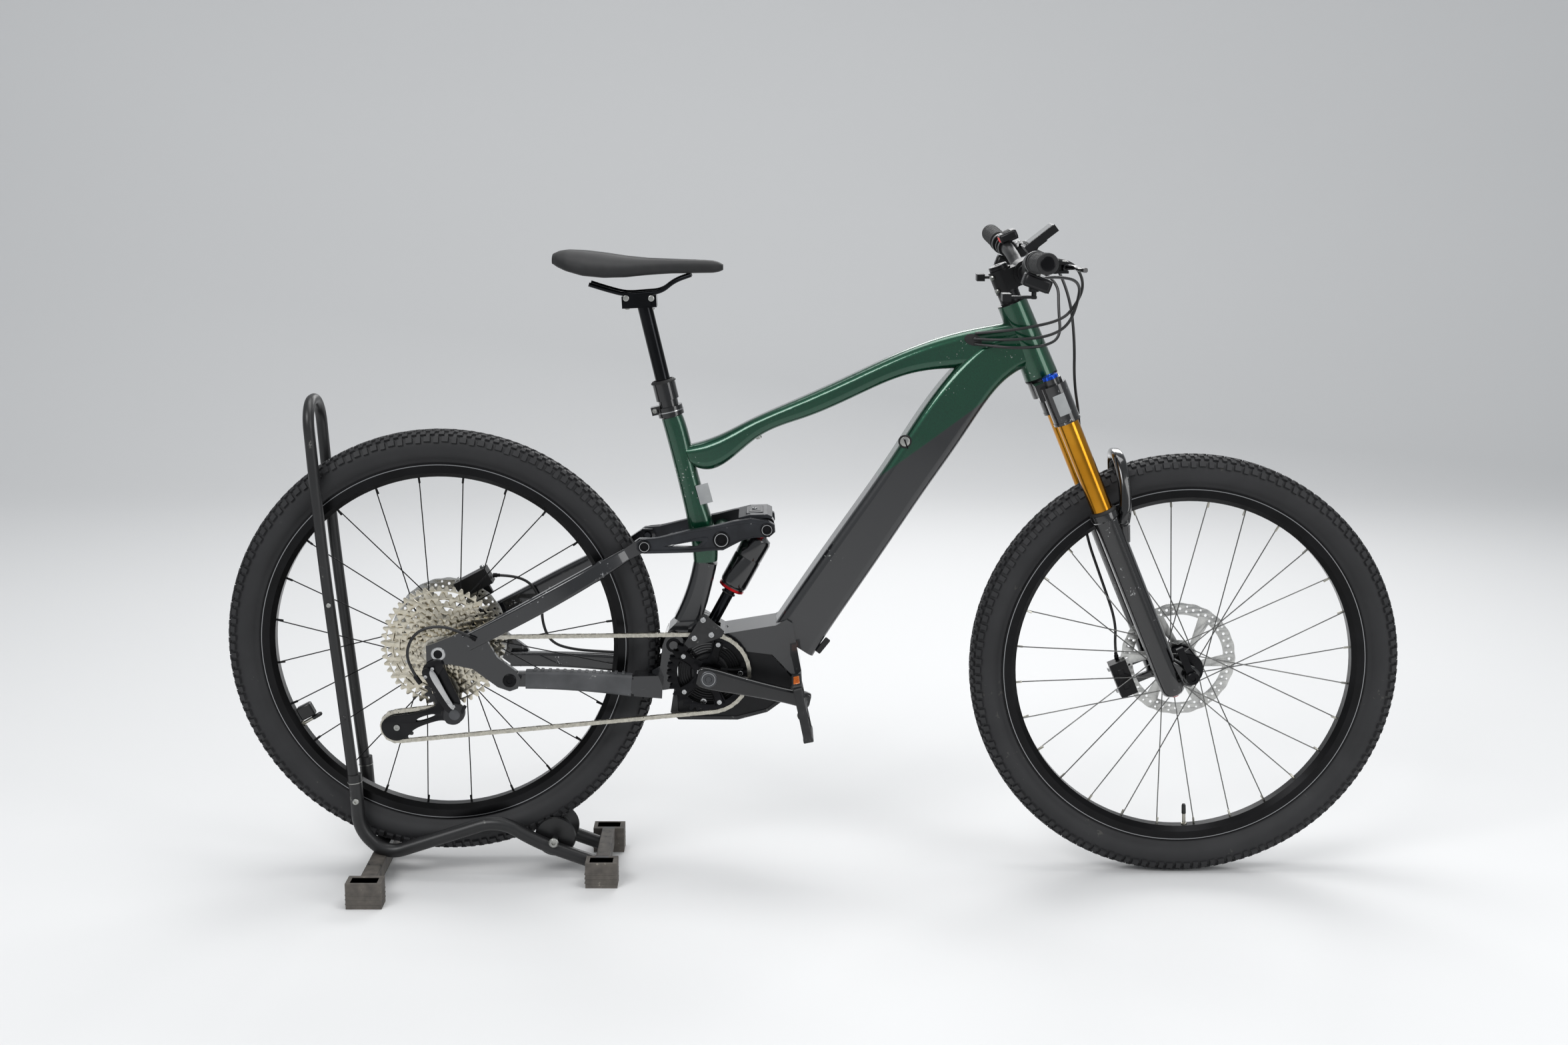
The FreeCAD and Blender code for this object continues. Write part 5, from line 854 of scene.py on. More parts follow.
def painted(name, fade):
    """Metallic paint: flake speckle in the colour, clear lacquer, chips; fade(x,z) rules where black starts."""
    mat, tree, shader = empty_material(name)
    place = add(tree, "ShaderNodeTexCoord").outputs["Object"]
    split = add(tree, "ShaderNodeSeparateXYZ", Vector=place)
    flakes = add(tree, "ShaderNodeTexVoronoi", Vector=place, Scale=2600.0)
    cloud = add(tree, "ShaderNodeTexNoise", Vector=place, Scale=7.0, Detail=2.0)
    green = add(tree, "ShaderNodeMix", {"data_type": "RGBA"}, n0=flakes.outputs["Color"], n6=linear("#022c1d"), n7=linear("#07573b"))
    tint = add(tree, "ShaderNodeMix", {"data_type": "RGBA", "blend_type": "MULTIPLY"}, n0=0.25, n6=green.outputs[2], n7=cloud.outputs["Color"])
    a, b, c = fade
    lean = add(tree, "ShaderNodeMath", {"operation": "MULTIPLY"}, n0=split.outputs["X"], n1=a)
    rise = add(tree, "ShaderNodeMath", {"operation": "MULTIPLY_ADD"}, n0=split.outputs["Z"], n1=b, n2=c)
    level = add(tree, "ShaderNodeMath", {"operation": "ADD"}, n0=lean.outputs[0], n1=rise.outputs[0])
    edge = add(tree, "ShaderNodeMapRange", Value=level.outputs[0])
    edge.inputs["From Min"].default_value = -0.0015
    edge.inputs["From Max"].default_value = 0.0015
    both = add(tree, "ShaderNodeMix", {"data_type": "RGBA"}, n0=edge.outputs["Result"], n6=linear("#08090d"), n7=tint.outputs[2])
    chips = add(tree, "ShaderNodeTexNoise", Vector=place, Scale=230.0, Detail=3.0)
    patchy = add(tree, "ShaderNodeTexNoise", Vector=place, Scale=6.0)
    amount = add(tree, "ShaderNodeMath", {"operation": "MULTIPLY"}, n0=chips.outputs["Fac"], n1=patchy.outputs["Fac"])
    worn = add(tree, "ShaderNodeMapRange", Value=amount.outputs[0])
    worn.inputs["From Min"].default_value = 0.43
    worn.inputs["From Max"].default_value = 0.445
    shown = add(tree, "ShaderNodeMix", {"data_type": "RGBA"}, n0=worn.outputs["Result"], n6=both.outputs[2], n7=linear("#9fa39f"))
    tree.links.new(shown.outputs[2], shader.inputs["Base Color"])
    metal = add(tree, "ShaderNodeMath", {"operation": "MULTIPLY"}, n0=edge.outputs["Result"], n1=0.75)
    tree.links.new(metal.outputs[0], shader.inputs["Metallic"])
    orange = add(tree, "ShaderNodeBump", Strength=0.12, Distance=0.00005, Height=flakes.outputs["Distance"])
    tree.links.new(orange.outputs["Normal"], shader.inputs["Normal"])
    shader.inputs["Roughness"].default_value = 0.32
    return coated(mat, 1.0, 0.045)


# Black starts under a level line on the seat tube and over a slanting line on the down tube.
upper_paint = painted("emerald_flake", (0.0, 1.0, -0.2))
seat_paint = painted("emerald_to_black_seat", (0.0, 1.0, -0.556))
(line_x, line_z), (line_x2, line_z2) = ((905 - 640.5) / 1000, 0.827), ((733 - 640.5) / 1000, 0.700)
slope = np.array((-(line_z2 - line_z), line_x2 - line_x))
slope = slope / np.hypot(*slope)
if slope[1] < 0:
    slope = -slope
down_paint = painted("emerald_to_black_down", (float(slope[0]), float(slope[1]), -float(slope @ (line_x, line_z))))
lower_paint = coated(surface("blue_black_lacquer", ("#07080c", "#0b0d12"), (0.22, 0.3), metallic=0.3, grain=0.3,
                             chips=("#a4a5a6", 0.375), chip_size=7), 1.0, 0.05)
dress(upper_paint, "front_frame")
dress(down_paint, "down_tube")
dress(seat_paint, "seat_tube")
dress(lower_paint, "seatstay_right", "seatstay_left", "chainstay")
pack_gloss = coated(surface("pack_gloss_black", ("#060607", "#0b0b0c"), (0.12, 0.2), grain=0.3, chips=("#6f6f6d", 0.36), chip_size=5), 1.0, 0.04)
nylon = surface("motor_nylon", ("#151516", "#202021"), (0.42, 0.55), mottle=10, grain=0.9, depth=0.05, chips=("#5f5e5b", 0.38), chip_size=6)
motor_metal = surface("motor_casting", ("#101011", "#18181a"), (0.36, 0.46), metallic=0.5, grain=0.8, depth=0.04)
dress(pack_gloss, "battery")
dress(motor_metal, "drive_unit")
dress(nylon, "motor_cover")
gasket = surface("black_rubber", ("#0c0c0c", "#151515"), (0.55, 0.7), grain=0.6, depth=0.02)
bare_label = surface("bare_label_plate", ("#8d8f90", "#a0a2a2"), (0.35, 0.45), grain=0.3)


def along_tube(low, high, share):
    """Point between two places given as rear-frame millimetres."""
    return np.array(rear(*low)) * (1 - share) + np.array(rear(*high)) * share


# Lock, key and latch of the pack, on the right cheek of the down tube.
lock = rear(788, 770, -36.6)
turned_ring("lock_bezel", lock, (0, -1, 0), [(8.6, -1), (8.6, 1.6), (10.4, 1.6), (11.4, 0.2), (11.4, -1)], gasket, "frame", 48)
spun("lock_barrel", lock, (0, -1, 0), [(8.4, -0.6), (8.4, 1.0), (7.6, 1.4)], zinc, "frame", 40)
block("lock_key_blade", lock + np.array((0, -0.008, 0)), (2, 14, 7.6), 20, zinc, "frame", 0.5, 1)
block("lock_key_bow", lock + np.array((0, -0.021, 0)), (2.6, 14, 17), 20, hub_black, "frame", 1.1)
block("pack_latch", rear(653, 412, -26), (30, 7, 10), 52, gasket, "frame", 1.6)
for k, (x, z) in enumerate(((487, 752), (541, 775))):
    spun(f"top_tube_bolt_{k}", rear(x, z - 3, 0), (0.35, 0, -0.93), [(5.0, -6), (5.0, 3.2), (3.6, 4.2)], zinc, "frame", 24)
# Oval port in each side of the head of the frame where hoses go in.
for side in (-1, 1):
    oval = np.column_stack([np.cos(np.linspace(0, 2 * math.pi, 36, endpoint=False)) * 15,
                            np.sin(np.linspace(0, 2 * math.pi, 36, endpoint=False)) * 9.5])
    turned = math.radians(-14)
    oval = oval @ np.array([[math.cos(turned), math.sin(turned)], [-math.sin(turned), math.cos(turned)]])
    low, high = (-25.8, -23.2) if side < 0 else (23.2, 25.8)
    plate(f"cable_port_{'right' if side < 0 else 'left'}", [oval], low, high, gasket, "frame", 0.8, (900, 941))
# Headset cups and the bare maker's panel on the front of the head tube.
for tag, s, radius in (("upper", 702, 25.0), ("lower", 566.5, 28.4)):
    turned_ring(f"headset_{tag}", steer(s, 0, 0), tuple(STEER_UP), [(19.4, -1.5), (radius, -1.5), (radius + 0.5, 0), (radius, 1.5), (19.4, 1.5)],
                hub_black, "frame", 64)
block("seat_label", rear(449, 676, -20.6), (22, 0.8, 34), 15, bare_label, "frame", 0.3, 1)

# Main pivot cap, motor bolts, ribs of the guard and the chain guide's bolts.
for side in (-1, 1):
    tag = "right" if side < 0 else "left"
    face = np.array((0, side / 1000, 0))
    pivot = np.array(rear(397, 417))
    spun(f"main_pivot_cap_{tag}", pivot + face * 43, (0, side, 0), [(13.5, -2), (13.5, 2.2), (12.2, 3.4), (6.6, 3.4), (6.0, 1.2)], ring_black,
         "frame", 48)
    for k, (x, z) in enumerate(((448, 318), (428, 392), (520, 392), (566, 336))):
        hexed(f"motor_bolt_{tag}_{k}", np.array(rear(x, z)) + face * 44.2, (0, side, 0), 5.4, 3.2, 5, polished, "frame")
    turned_ring(f"motor_boss_{tag}", np.array(rear(458, 370)) + face * 46, (0, side, 0),
                [(24.2, -2), (33, -2), (33, 1.2), (30, 4.0), (24.2, 4.4)], motor_metal, "frame", 72)
    for k in range(5):
        turned_ring(f"motor_rib_{tag}_{k}", np.array(rear(458, 370)) + face * 44, (0, side, 0),
                    [(38 + k * 4.2, -0.5), (38 + k * 4.2, 1.5), (39.6 + k * 4.2, 1.5), (39.6 + k * 4.2, -0.5)], motor_metal, "frame", 72)
for k, (x, z) in enumerate(((433, 434), (462, 440), (448, 466))):
    hexed(f"guide_bolt_{k}", rear(x, z, -64.2), (0, -1, 0), 5.0, 2.2, 4.4, polished, "frame")

# Rear triangle: axle with its hex ring, pivot caps, ribbed protector, brake with bolts.
dress(hub_black, "rear_axle")
ribbed = surface("chainstay_rubber", ("#3a3b3d", "#4a4b4d"), (0.5, 0.65), grain=0.8, depth=0.05, chips=("#8f8f8c", 0.4), chip_size=4)
dress(ribbed, "chainstay_protector")
turned_ring("axle_hex_ring", rear(0, 410, -PLATE_OUT), (0, -1, 0), [(7.5, -0.4), (7.5, 1.8), (11.2, 1.8), (12.4, 0.6), (12.4, -0.4)], polished,
            "rear_end", 48)
hexed("axle_bolt", rear(0, 410, -PLATE_OUT - 0.2), (0, -1, 0), 7.4, 1.4, 9, hub_black, "rear_end")
for side in (-1, 1):
    tag = "right" if side < 0 else "left"
    spot = np.array(rear(120, 364)) + np.array((0, side * PLATE_OUT / 1000, 0))
    spun(f"horst_cap_{tag}", spot, (0, side, 0), [(11.5, -1), (11.5, 1.6), (10.2, 2.6), (5, 2.6), (4.6, 1.2)], ring_black, "rear_end", 40)
for k in range(13):
    share = k / 12
    x, z = 162 + share * 150, 361 + 17.4 - share * 5.2
    block(f"protector_rib_{k}", rear(x, z, -65.3), (5.6, 15, 3.4), -3, ribbed, "chainstay", 1.2)
caliper_black = surface("cast_caliper", ("#121213", "#1b1b1c"), (0.34, 0.44), metallic=0.6, grain=0.7, depth=0.03)
dress(caliper_black, "rear_caliper", "front_caliper")
CALIPER_DIR = np.array((math.cos(math.radians(28)), 0, math.sin(math.radians(28))))
CALIPER_UP = np.array((-math.sin(math.radians(28)), 0, math.cos(math.radians(28))))
for k, reach in enumerate((-0.023, 0.023)):
    spot = np.array(rear(44, 503, 58)) + CALIPER_DIR * reach
    hexed(f"rear_caliper_bolt_{k}", spot + CALIPER_UP * 0.0155 + np.array((0, 0.008, 0)), tuple(CALIPER_UP), 4.2, 3.6, 4.4, polished, "rear_end")

# ---------------------------------------------------------------- rocker and shock
# Forged satin-charcoal rocker with raised edges round a triangular window, black pivot caps with hex sockets
# and a recessed bridge; an air shock with a gloss can, red sag ring, rubber O-ring, and red and blue levers.
forged = surface("satin_charcoal_forging", ("#26272a", "#323438"), (0.34, 0.44), metallic=0.6, grain=0.6, depth=0.02,
                 chips=("#8a8b8d", 0.385), chip_size=5)
dress(forged, "rocker_link")
ARM_OUTLINE = np.array([(358, 580), (430, 582), (462, 586), (482, 586), (500, 596), (520, 606), (540, 610), (560, 609), (570, 618),
                        (569, 630), (558, 637), (528, 641), (500, 636), (470, 628), (420, 619), (370, 606), (344, 604), (336, 598),
                        (336, 587), (343, 580)], float)
for side in (-1, 1):
    tag = "right" if side < 0 else "left"
    rim_in = ARM_OUTLINE + (ARM_OUTLINE.mean(0) - ARM_OUTLINE) * np.array((0.045, 0.20))
    low, high = (58, 59.6) if side > 0 else (-59.6, -58)
    plate(f"rocker_rib_{tag}", [softened(ARM_OUTLINE, 2), softened(rim_in, 2)], low, high, forged, "rocker", 0.5)
    plate(f"rocker_window_rib_{tag}", [softened([(374, 588), (440, 587), (462, 609), (440, 608)], 2), softened([(382, 592), (438, 591), (451, 605)], 1)],
          low, high, forged, "rocker", 0.4)
    for name, (x, z), radius, body, tall in (("main", (479, 604), 14.5, "frame", 2.4), ("stay", (349, 592), 10.5, "rocker", 4.4),
                                             ("shock", (556, 622), 11.0, "rocker", 4.4)):
        spot = np.array(rear(x, z)) + np.array((0, side * 0.0582, 0))
        spun(f"rocker_cap_{name}_{tag}", spot, (0, side, 0), [(radius, 0), (radius, tall - 1), (radius - 1.4, tall), (radius * 0.5, tall), (radius * 0.46, tall - 1.6)],
             ring_black, body, 48)
        turned_ring(f"rocker_line_{name}_{tag}", spot + np.array((0, side * (tall - 0.2) / 1000, 0)), (0, side, 0),
                    [(radius * 0.72, 0), (radius * 0.72, 0.35), (radius * 0.8, 0.35), (radius * 0.8, 0)], polished, body, 48)
block("rocker_bridge_pad", rear(535, 643.4), (30, 62, 5.5), 5, forged, "rocker", 1.6)
block("rocker_bridge_recess", rear(535, 646.0), (20, 40, 1.2), 5, hub_black, "rocker", 0.4)
hexed("rocker_bridge_bolt", rear(535, 646.4), (0, 0, 1), 4.6, 2.4, 4.6, polished, "rocker")

can_black = coated(surface("gloss_air_can", ("#0a0a0b", "#111113"), (0.14, 0.22), metallic=0.3, grain=0.3), 1.0, 0.05)
red_anodised = surface("red_anodised", ("#a3141a", "#b81b20"), (0.24, 0.32), metallic=0.85, grain=0.3)
blue_anodised = surface("blue_anodised", ("#1742a8", "#1f52c0"), (0.24, 0.32), metallic=0.85, grain=0.3)
slick_tube = surface("shock_tube", ("#17181b", "#202226"), (0.08, 0.14), metallic=0.85, grain=0.3)
dress(slick_tube, "shock_shaft")
EYE = np.array(rear(457, 437.3))
SHOCK_DIR = np.array(rear(556, 622)) - EYE
SHOCK_LONG = float(np.linalg.norm(SHOCK_DIR)) * 1000
SHOCK_DIR = SHOCK_DIR / np.linalg.norm(SHOCK_DIR)
SHOCK_SIDE = np.cross(SHOCK_DIR, (0, 1, 0))
can = turned_ring("shock_can", EYE, tuple(SHOCK_DIR),
                  [(10.3, 78.2), (20.6, 78.2), (22, 80), (22, 86), (23.4, 88), (24, 92), (24, 140), (23.3, 141.5), (23.3, 143), (24, 144.5),
                   (24, 176), (22, 181), (14, 185), (12, 187), (10.3, 187)], can_black, "shock_can", 96)
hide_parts("shock_air_can")
turned_ring("shock_red_ring", EYE + SHOCK_DIR * 0.0800, tuple(SHOCK_DIR), [(20.8, -1), (22.5, -0.6), (22.5, 3.6), (20.8, 4)], red_anodised, "shock_can", 72)
block("shock_head", EYE + SHOCK_DIR * 0.1905, (24, 23, 22), 62, can_black, "shock_can", 3)
turned_ring("shock_top_eye", EYE + SHOCK_DIR * SHOCK_LONG / 1000, (0, 1, 0), [(7.8, -11.9), (12.6, -11.9), (12.9, -9), (12.9, 9), (12.6, 11.9), (7.8, 11.9)],
            can_black, "shock_can", 48)
turned_ring("shock_o_ring", EYE + SHOCK_DIR * 0.070, tuple(SHOCK_DIR), [(9.9, -1.4), (12.2, -1.0), (12.6, 0), (12.2, 1.0), (9.9, 1.4)], gasket, "shock_shaft", 48)
spun("shock_rebound_dial", EYE + SHOCK_DIR * 0.1905 - np.array((0, 0.0112, 0)), (0, -1, 0), [(7.4, 0), (7.4, 4), (6.4, 4.8)], red_anodised, "shock_can", 32)
block("shock_lockout_lever", EYE + SHOCK_DIR * 0.1905 + SHOCK_SIDE * 0.015 - np.array((0, 0.008, 0)), (22, 5, 4), -30, blue_anodised, "shock_can", 1.2)
spun("shock_air_valve", EYE + SHOCK_DIR * 0.183 + SHOCK_SIDE * 0.013 + np.array((0, 0.004, 0)), tuple(SHOCK_SIDE), [(4.6, -2), (4.6, 7), (3.6, 8)], hub_black, "shock_can", 24)

# ---------------------------------------------------------------- seat post and saddle
# Dropper post: gloss black fixed collar with a wiper, satin inner post and two-bolt head. Saddle: a foam pad
# under stretched matte cover with a pressure channel, thin nylon base and steel rails.
post_gloss = coated(surface("post_gloss", ("#0b0b0c", "#101012"), (0.16, 0.24), metallic=0.5, grain=0.3), 0.8, 0.06)
slick_post = surface("post_inner_tube", ("#111214", "#191a1d"), (0.12, 0.2), metallic=0.8, grain=0.3, chips=("#3c3d40", 0.4), chip_size=9)
dress(post_gloss, "dropper_outer")
dress(slick_post, "dropper_stanchion")
rail_steel = surface("saddle_rail_steel", ("#17181a", "#232427"), (0.2, 0.3), metallic=0.9, grain=0.3)
dress(rail_steel, "saddle_rails")
POST_DIR = np.array((-0.232, 0, 0.9727))
POST_FOOT = np.array(rear(394, 806))
turned_ring("post_wiper", POST_FOOT + POST_DIR * 0.0605, tuple(POST_DIR), [(16.2, -1), (21, -1), (21.4, 1), (18.4, 3.6), (16.2, 4)], gasket, "frame", 64)
turned_ring("post_clamp_groove", POST_FOOT + POST_DIR * 0.010, tuple(POST_DIR), [(22.0, -0.8), (22.5, -0.8), (22.5, 0.8), (22.0, 0.8)], polished, "frame", 64)
hexed("post_clamp_bolt", POST_FOOT + POST_DIR * 0.010 + np.array((-0.026, -0.0072, 0)), (0, -1, 0), 4.4, 4.0, 4.4, zinc, "frame")
HEAD = np.array(rear(346, 994))
for k, x in enumerate((-0.026, 0.016)):
    hexed(f"post_head_bolt_{k}", HEAD + np.array((x, 0, -0.0045)), (0, 0, -1), 4.0, 3.0, 4.0, zinc, "seat")
    spun(f"post_head_nut_{k}", HEAD + np.array((x, -0.028, 0.014)), (0, -1, 0), [(5, -1), (5, 3.0), (4, 3.6)], zinc, "seat", 24)

# Saddle shell seen from above: half width and top height along its length, in mm of the rear frame.
seat_x = np.array([198, 206, 222, 250, 285, 320, 355, 395, 435, 465, 476, 481], float)
half_width = np.array([30, 46, 61, 71, 68, 56, 40, 28, 22, 18.5, 14, 7], float)
top_z = np.array([1079, 1083.5, 1086, 1085, 1081, 1076, 1073, 1072, 1071, 1069, 1066, 1062], float)
base_z = np.array([1064, 1060, 1055, 1049, 1045, 1044, 1046, 1048, 1048.5, 1049, 1051, 1054], float)
long = np.linspace(0, 1, 110)
long_x = seat_x[0] + (seat_x[-1] - seat_x[0]) * (0.5 - 0.5 * np.cos(long * math.pi))


def eased(values):
    """Smooth curve through the saddle's stations: each value averaged over 14 mm along its length."""
    fine = np.linspace(seat_x[0], seat_x[-1], 600)
    raw = np.interp(fine, seat_x, values)
    kernel = np.hanning(31)
    kernel = kernel / kernel.sum()
    soft = np.convolve(np.pad(raw, 15, mode="edge"), kernel, mode="valid")
    return np.interp(long_x, fine, soft)


wide, crest, keel = eased(half_width), eased(top_z), eased(base_z)
turn = np.linspace(0, 2 * math.pi, 72, endpoint=False)
rings = []
for x, w, top, low in zip(long_x, wide, crest, keel):
    # Superellipse round, flatter underneath, with a channel along the middle and drooping wings.
    c, s = np.cos(turn), np.sin(turn)
    y = w * np.sign(c) * np.abs(c) ** 0.62
    upper = np.sign(s) * np.abs(s) ** 0.72
    middle = low + (top - low) * 0.45
    z = np.where(s >= 0, middle + (top - middle) * upper, middle + (middle - low) * upper)
    droop = 9.0 * (np.abs(y) / 71) ** 2.2
    channel = 4.2 * np.exp(-(y / 9.0) ** 2) * np.clip((x - 215) / 40, 0, 1) * np.clip((452 - x) / 60, 0, 1) * (s > 0)
    rings.append(np.column_stack([np.full(72, x - 640.5), y, z - droop - channel]))
points = np.concatenate(rings) / 1000
faces = grid_faces(110, 72, wrap_columns=True)
first, last = points[:72].mean(0), points[-72:].mean(0)
points = np.vstack([points, first, last])
tip = len(points)
faces = [tuple(face) for face in faces] + [(k, (k + 1) % 72, tip - 2) for k in range(72)]
faces += [((k + 1) % 72 + 109 * 72, k + 109 * 72, tip - 1) for k in range(72)]
cover = surface("saddle_cover", ("#0f0f10", "#171718"), (0.6, 0.74), mottle=18, grain=0.8, depth=0.04)
pad = mesh_object("saddle_pad", points, faces, cover, "seat", 60)
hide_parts("saddle")

# ---------------------------------------------------------------- fork
# Single-crown suspension fork: forged crown with a blue compression dial and a bare panel, gold anodised
# stanchions, gloss black cast lowers with a bracing arch, foam-backed wipers, clamp lever and radial brake.
fork_gloss = coated(surface("fork_gloss_black", ("#09090a", "#0e0e0f"), (0.16, 0.24), metallic=0.35, grain=0.3,
                            chips=("#8d8e8e", 0.37), chip_size=5), 1.0, 0.05)
gold = surface("gold_anodised_tube", ("#a8721c", "#bd8428"), (0.12, 0.2), metallic=1.0, mottle=60, grain=0.3)
dress(fork_gloss, "fork_crown")
dress(gold, "fork_stanchions")
dress(hub_black, "front_axle")
LEG_Y = 66
UP_T = tuple(STEER_UP)
made = []
for side in (-1, 1):
    tag = "right" if side < 0 else "left"
    y = side * LEG_Y
    leg_profile = [(18.3, 9), (18.3, 323), (23.9, 323), (24.2, 320), (24.2, 312), (22.2, 309.6), (21.6, 300), (21.5, 180), (21.3, 60),
                   (21.6, 20), (21.2, -8), (19, -16), (14, -21), (9, -22.5), (9, 5)]
    leg = turned_ring(f"lower_leg_{tag}", steer(0, 8, y), UP_T, leg_profile, fork_gloss, "fork_lowers", 72)
    made.append(leg)
    turned_ring(f"wiper_{tag}", steer(323.2, 8, y), UP_T, [(18.2, 0), (23.2, 0), (22.6, 2.4), (19.2, 4.6), (18.2, 4.4)], gasket, "fork_lowers", 72)
    fine = [(steer(34, 20, y + side * 1.0), 20, 30, 8), (steer(16, 30, y + side * 1), 30, 24, 9), (steer(0, 40, y - side * 1.5), 38, 19, 9),
            (steer(-12, 48, y - side * 1.5), 28, 18, 8)]
    limb(f"dropout_{tag}", fine, fork_gloss, "fork_lowers", 24)
    turned_ring(f"axle_seat_{tag}", steer(0, 44, side * 72.5), (0, side, 0), [(8.0, -10), (14.5, -10), (15.5, -8), (15.5, 2.5), (13.5, 4.5), (8.0, 4.5)],
                fork_gloss, "fork_lowers", 48)
    spun(f"foot_nut_{tag}", steer(-20, 8, y), (tuple(-STEER_UP)), [(7, 0), (7, 4.4), (5.6, 5.2), (3, 5.2), (3, 3)],
         red_anodised if side < 0 else zinc, "fork_lowers", 24)
    turned_ring(f"crown_pinch_{tag}", steer(490.4, 8, y), UP_T, [(18.2, -0.5), (23.2, -0.5), (23.4, 1), (23.4, 4), (18.2, 4)], fork_gloss, "steering", 72)
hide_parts("fork_lowers")
arch_at = [steer(262, 22, -66), steer(292, 33, -68), steer(318, 46, -66), steer(352, 59, -56), (steer(383, 67, -38)), steer(393, 69, -16),
           steer(393, 69, 16), steer(383, 67, 38), steer(352, 59, 56), steer(318, 46, 66), steer(292, 33, 68), steer(262, 22, 66)]
arch_path = smooth_path(np.array(arch_at), 110)
arch_round = np.stack([rounded_section(20, 18.5 + 1.5 * math.cos(k / 109 * 2 * math.pi), 7, 6) for k in range(110)])
carried("lower_arch", arch_path, arch_round, fork_gloss, "fork_lowers", 40)
spun("compression_dial", steer(568.2, 8, -LEG_Y), UP_T,
     [(12.8 + 0.5 * np.sign(np.sin(np.arange(96) * 2 * math.pi / 96 * 16)), 0), (12.8 + 0.5 * np.sign(np.sin(np.arange(96) * 2 * math.pi / 96 * 16)), 5),
      (11.6, 6.2), (6.5, 6.4), (6.0, 5.4)], blue_anodised, "steering", 96)
hexed("air_cap", steer(558.6, 8, LEG_Y), UP_T, 12.4, 8.4, 8, hub_black, "steering")
block("crown_label", steer(524, 8, -LEG_Y - 22.4), (20, 1.4, 36), 23, bare_label, "steering", 0.5, 1)
spun("steerer_core", steer(500, 0, 0), UP_T, [(13.9, 36), (13.9, 243), (9, 243.4)], hub_black, "steering", 48)
turned_ring("crown_race", steer(567.6, 0, 0), UP_T, [(18, -4), (27.6, -4), (28.2, -2.6), (28.2, -1.4), (18, -1)], hub_black, "steering", 72)
AXLE_F = np.array((0.6405, 0, 0.3725))
spun("front_axle_knob", AXLE_F + np.array((0, -0.088, 0)), (0, -1, 0), [(10.5, -4), (10.8, -1), (10.8, 3.4), (9.2, 4.6), (4.4, 4.6), (4, 2.6)], hub_black, "axle", 40)
block("front_caliper_bridge", steer(6, -58, 41.5), (13, 31.5, 40), 23, caliper_black, "fork_lowers", 3)
for k, s in enumerate((22, -12)):
    block(f"front_caliper_post_{k}", steer(s, -28, 58), (46, 12, 13), 23, fork_gloss, "fork_lowers", 2.5)
for k in (-21, 21):
    hexed(f"front_caliper_bolt_{k + 21}", steer(6 + k, -74, 46), tuple(-STEER_AHEAD), 4.3, 3.4, 4.4, polished, "fork_lowers")
for face in (-1, 1):
    spun(f"front_caliper_piston_{face + 1}", steer(4, -55, 41.5 + face * 14.2), (0, face, 0), [(11, -1), (11, 2.0), (9, 2.8)], caliper_black, "fork_lowers", 36)
spun("hose_guide", steer(330, -12, 90), (0, 0.2, 1), [(3.8, -8), (4.4, -7), (4.4, 7), (3.8, 8)], gasket, "fork_lowers", 20)

# ---------------------------------------------------------------- cockpit
# Alloy riser bar and short stem with four face bolts, ribbed lock-on grips with end plugs, hydraulic brake
# levers, gear and post pods with paddles, a colour-free display under dark glass and a small lamp-bar remote.
bar_black = surface("bar_matt_anodised", ("#121213", "#1a1a1b"), (0.34, 0.44), metallic=0.6, grain=0.4, chips=("#7e7e7c", 0.4), chip_size=5)
control_black = surface("control_body_black", ("#111112", "#18181a"), (0.3, 0.42), metallic=0.35, grain=0.5, chips=("#6c6b69", 0.4), chip_size=4)
lever_gloss = coated(surface("lever_gloss", ("#0e0e0f", "#151516"), (0.2, 0.28), metallic=0.6, grain=0.3, chips=("#9a9a98", 0.39), chip_size=5), 0.6, 0.08)
dress(bar_black, "stem", "handlebar")
dress(control_black, "bar_controls", "shift_paddle", "dropper_paddle")
BAR_C = steer(742, 38)


def bar_at(y, along=0.0):
    """Centre of the bar at y mm from its middle: level, then a rising bend, then the swept-back end."""
    reach = abs(y)
    share = np.interp(reach, (0, 55, 125, 390), (0, 0, 0.62, 1.0))
    return BAR_C + (np.array((-15, 0, 41)) * share + np.array((0, y, 0)) + STEER_AHEAD * along) / 1000


for k, (dy, ds) in enumerate(((-18, 13), (18, 13), (-18, -13), (18, -13))):
    hexed(f"stem_face_bolt_{k}", BAR_C + STEER_AHEAD * 0.0185 + np.array((0, dy / 1000, 0)) + STEER_UP * ds / 1000, tuple(STEER_AHEAD), 4.0, 3.0, 4.0, zinc, "steering")
for k, ds in enumerate((-12, 12)):
    hexed(f"stem_clamp_bolt_{k}", steer(742 + ds, -17, -10), (0, -1, 0), 4.0, 8.0, 4.0, zinc, "steering")
spun("stem_top_cap", steer(766.2, 0, 0), UP_T, [(16, 0), (16, 2.4), (14.5, 3.6), (5, 3.6), (4.6, 2)], hub_black, "steering", 48)
for k, s in enumerate((707.6, 713.0, 718.4)):
    turned_ring(f"spacer_{k}", steer(s, 0, 0), UP_T, [(14.5, -2.4), (17.9, -2.4), (18.4, -2.0), (18.4, 2.0), (17.9, 2.4), (14.5, 2.4)], hub_black, "steering", 64)

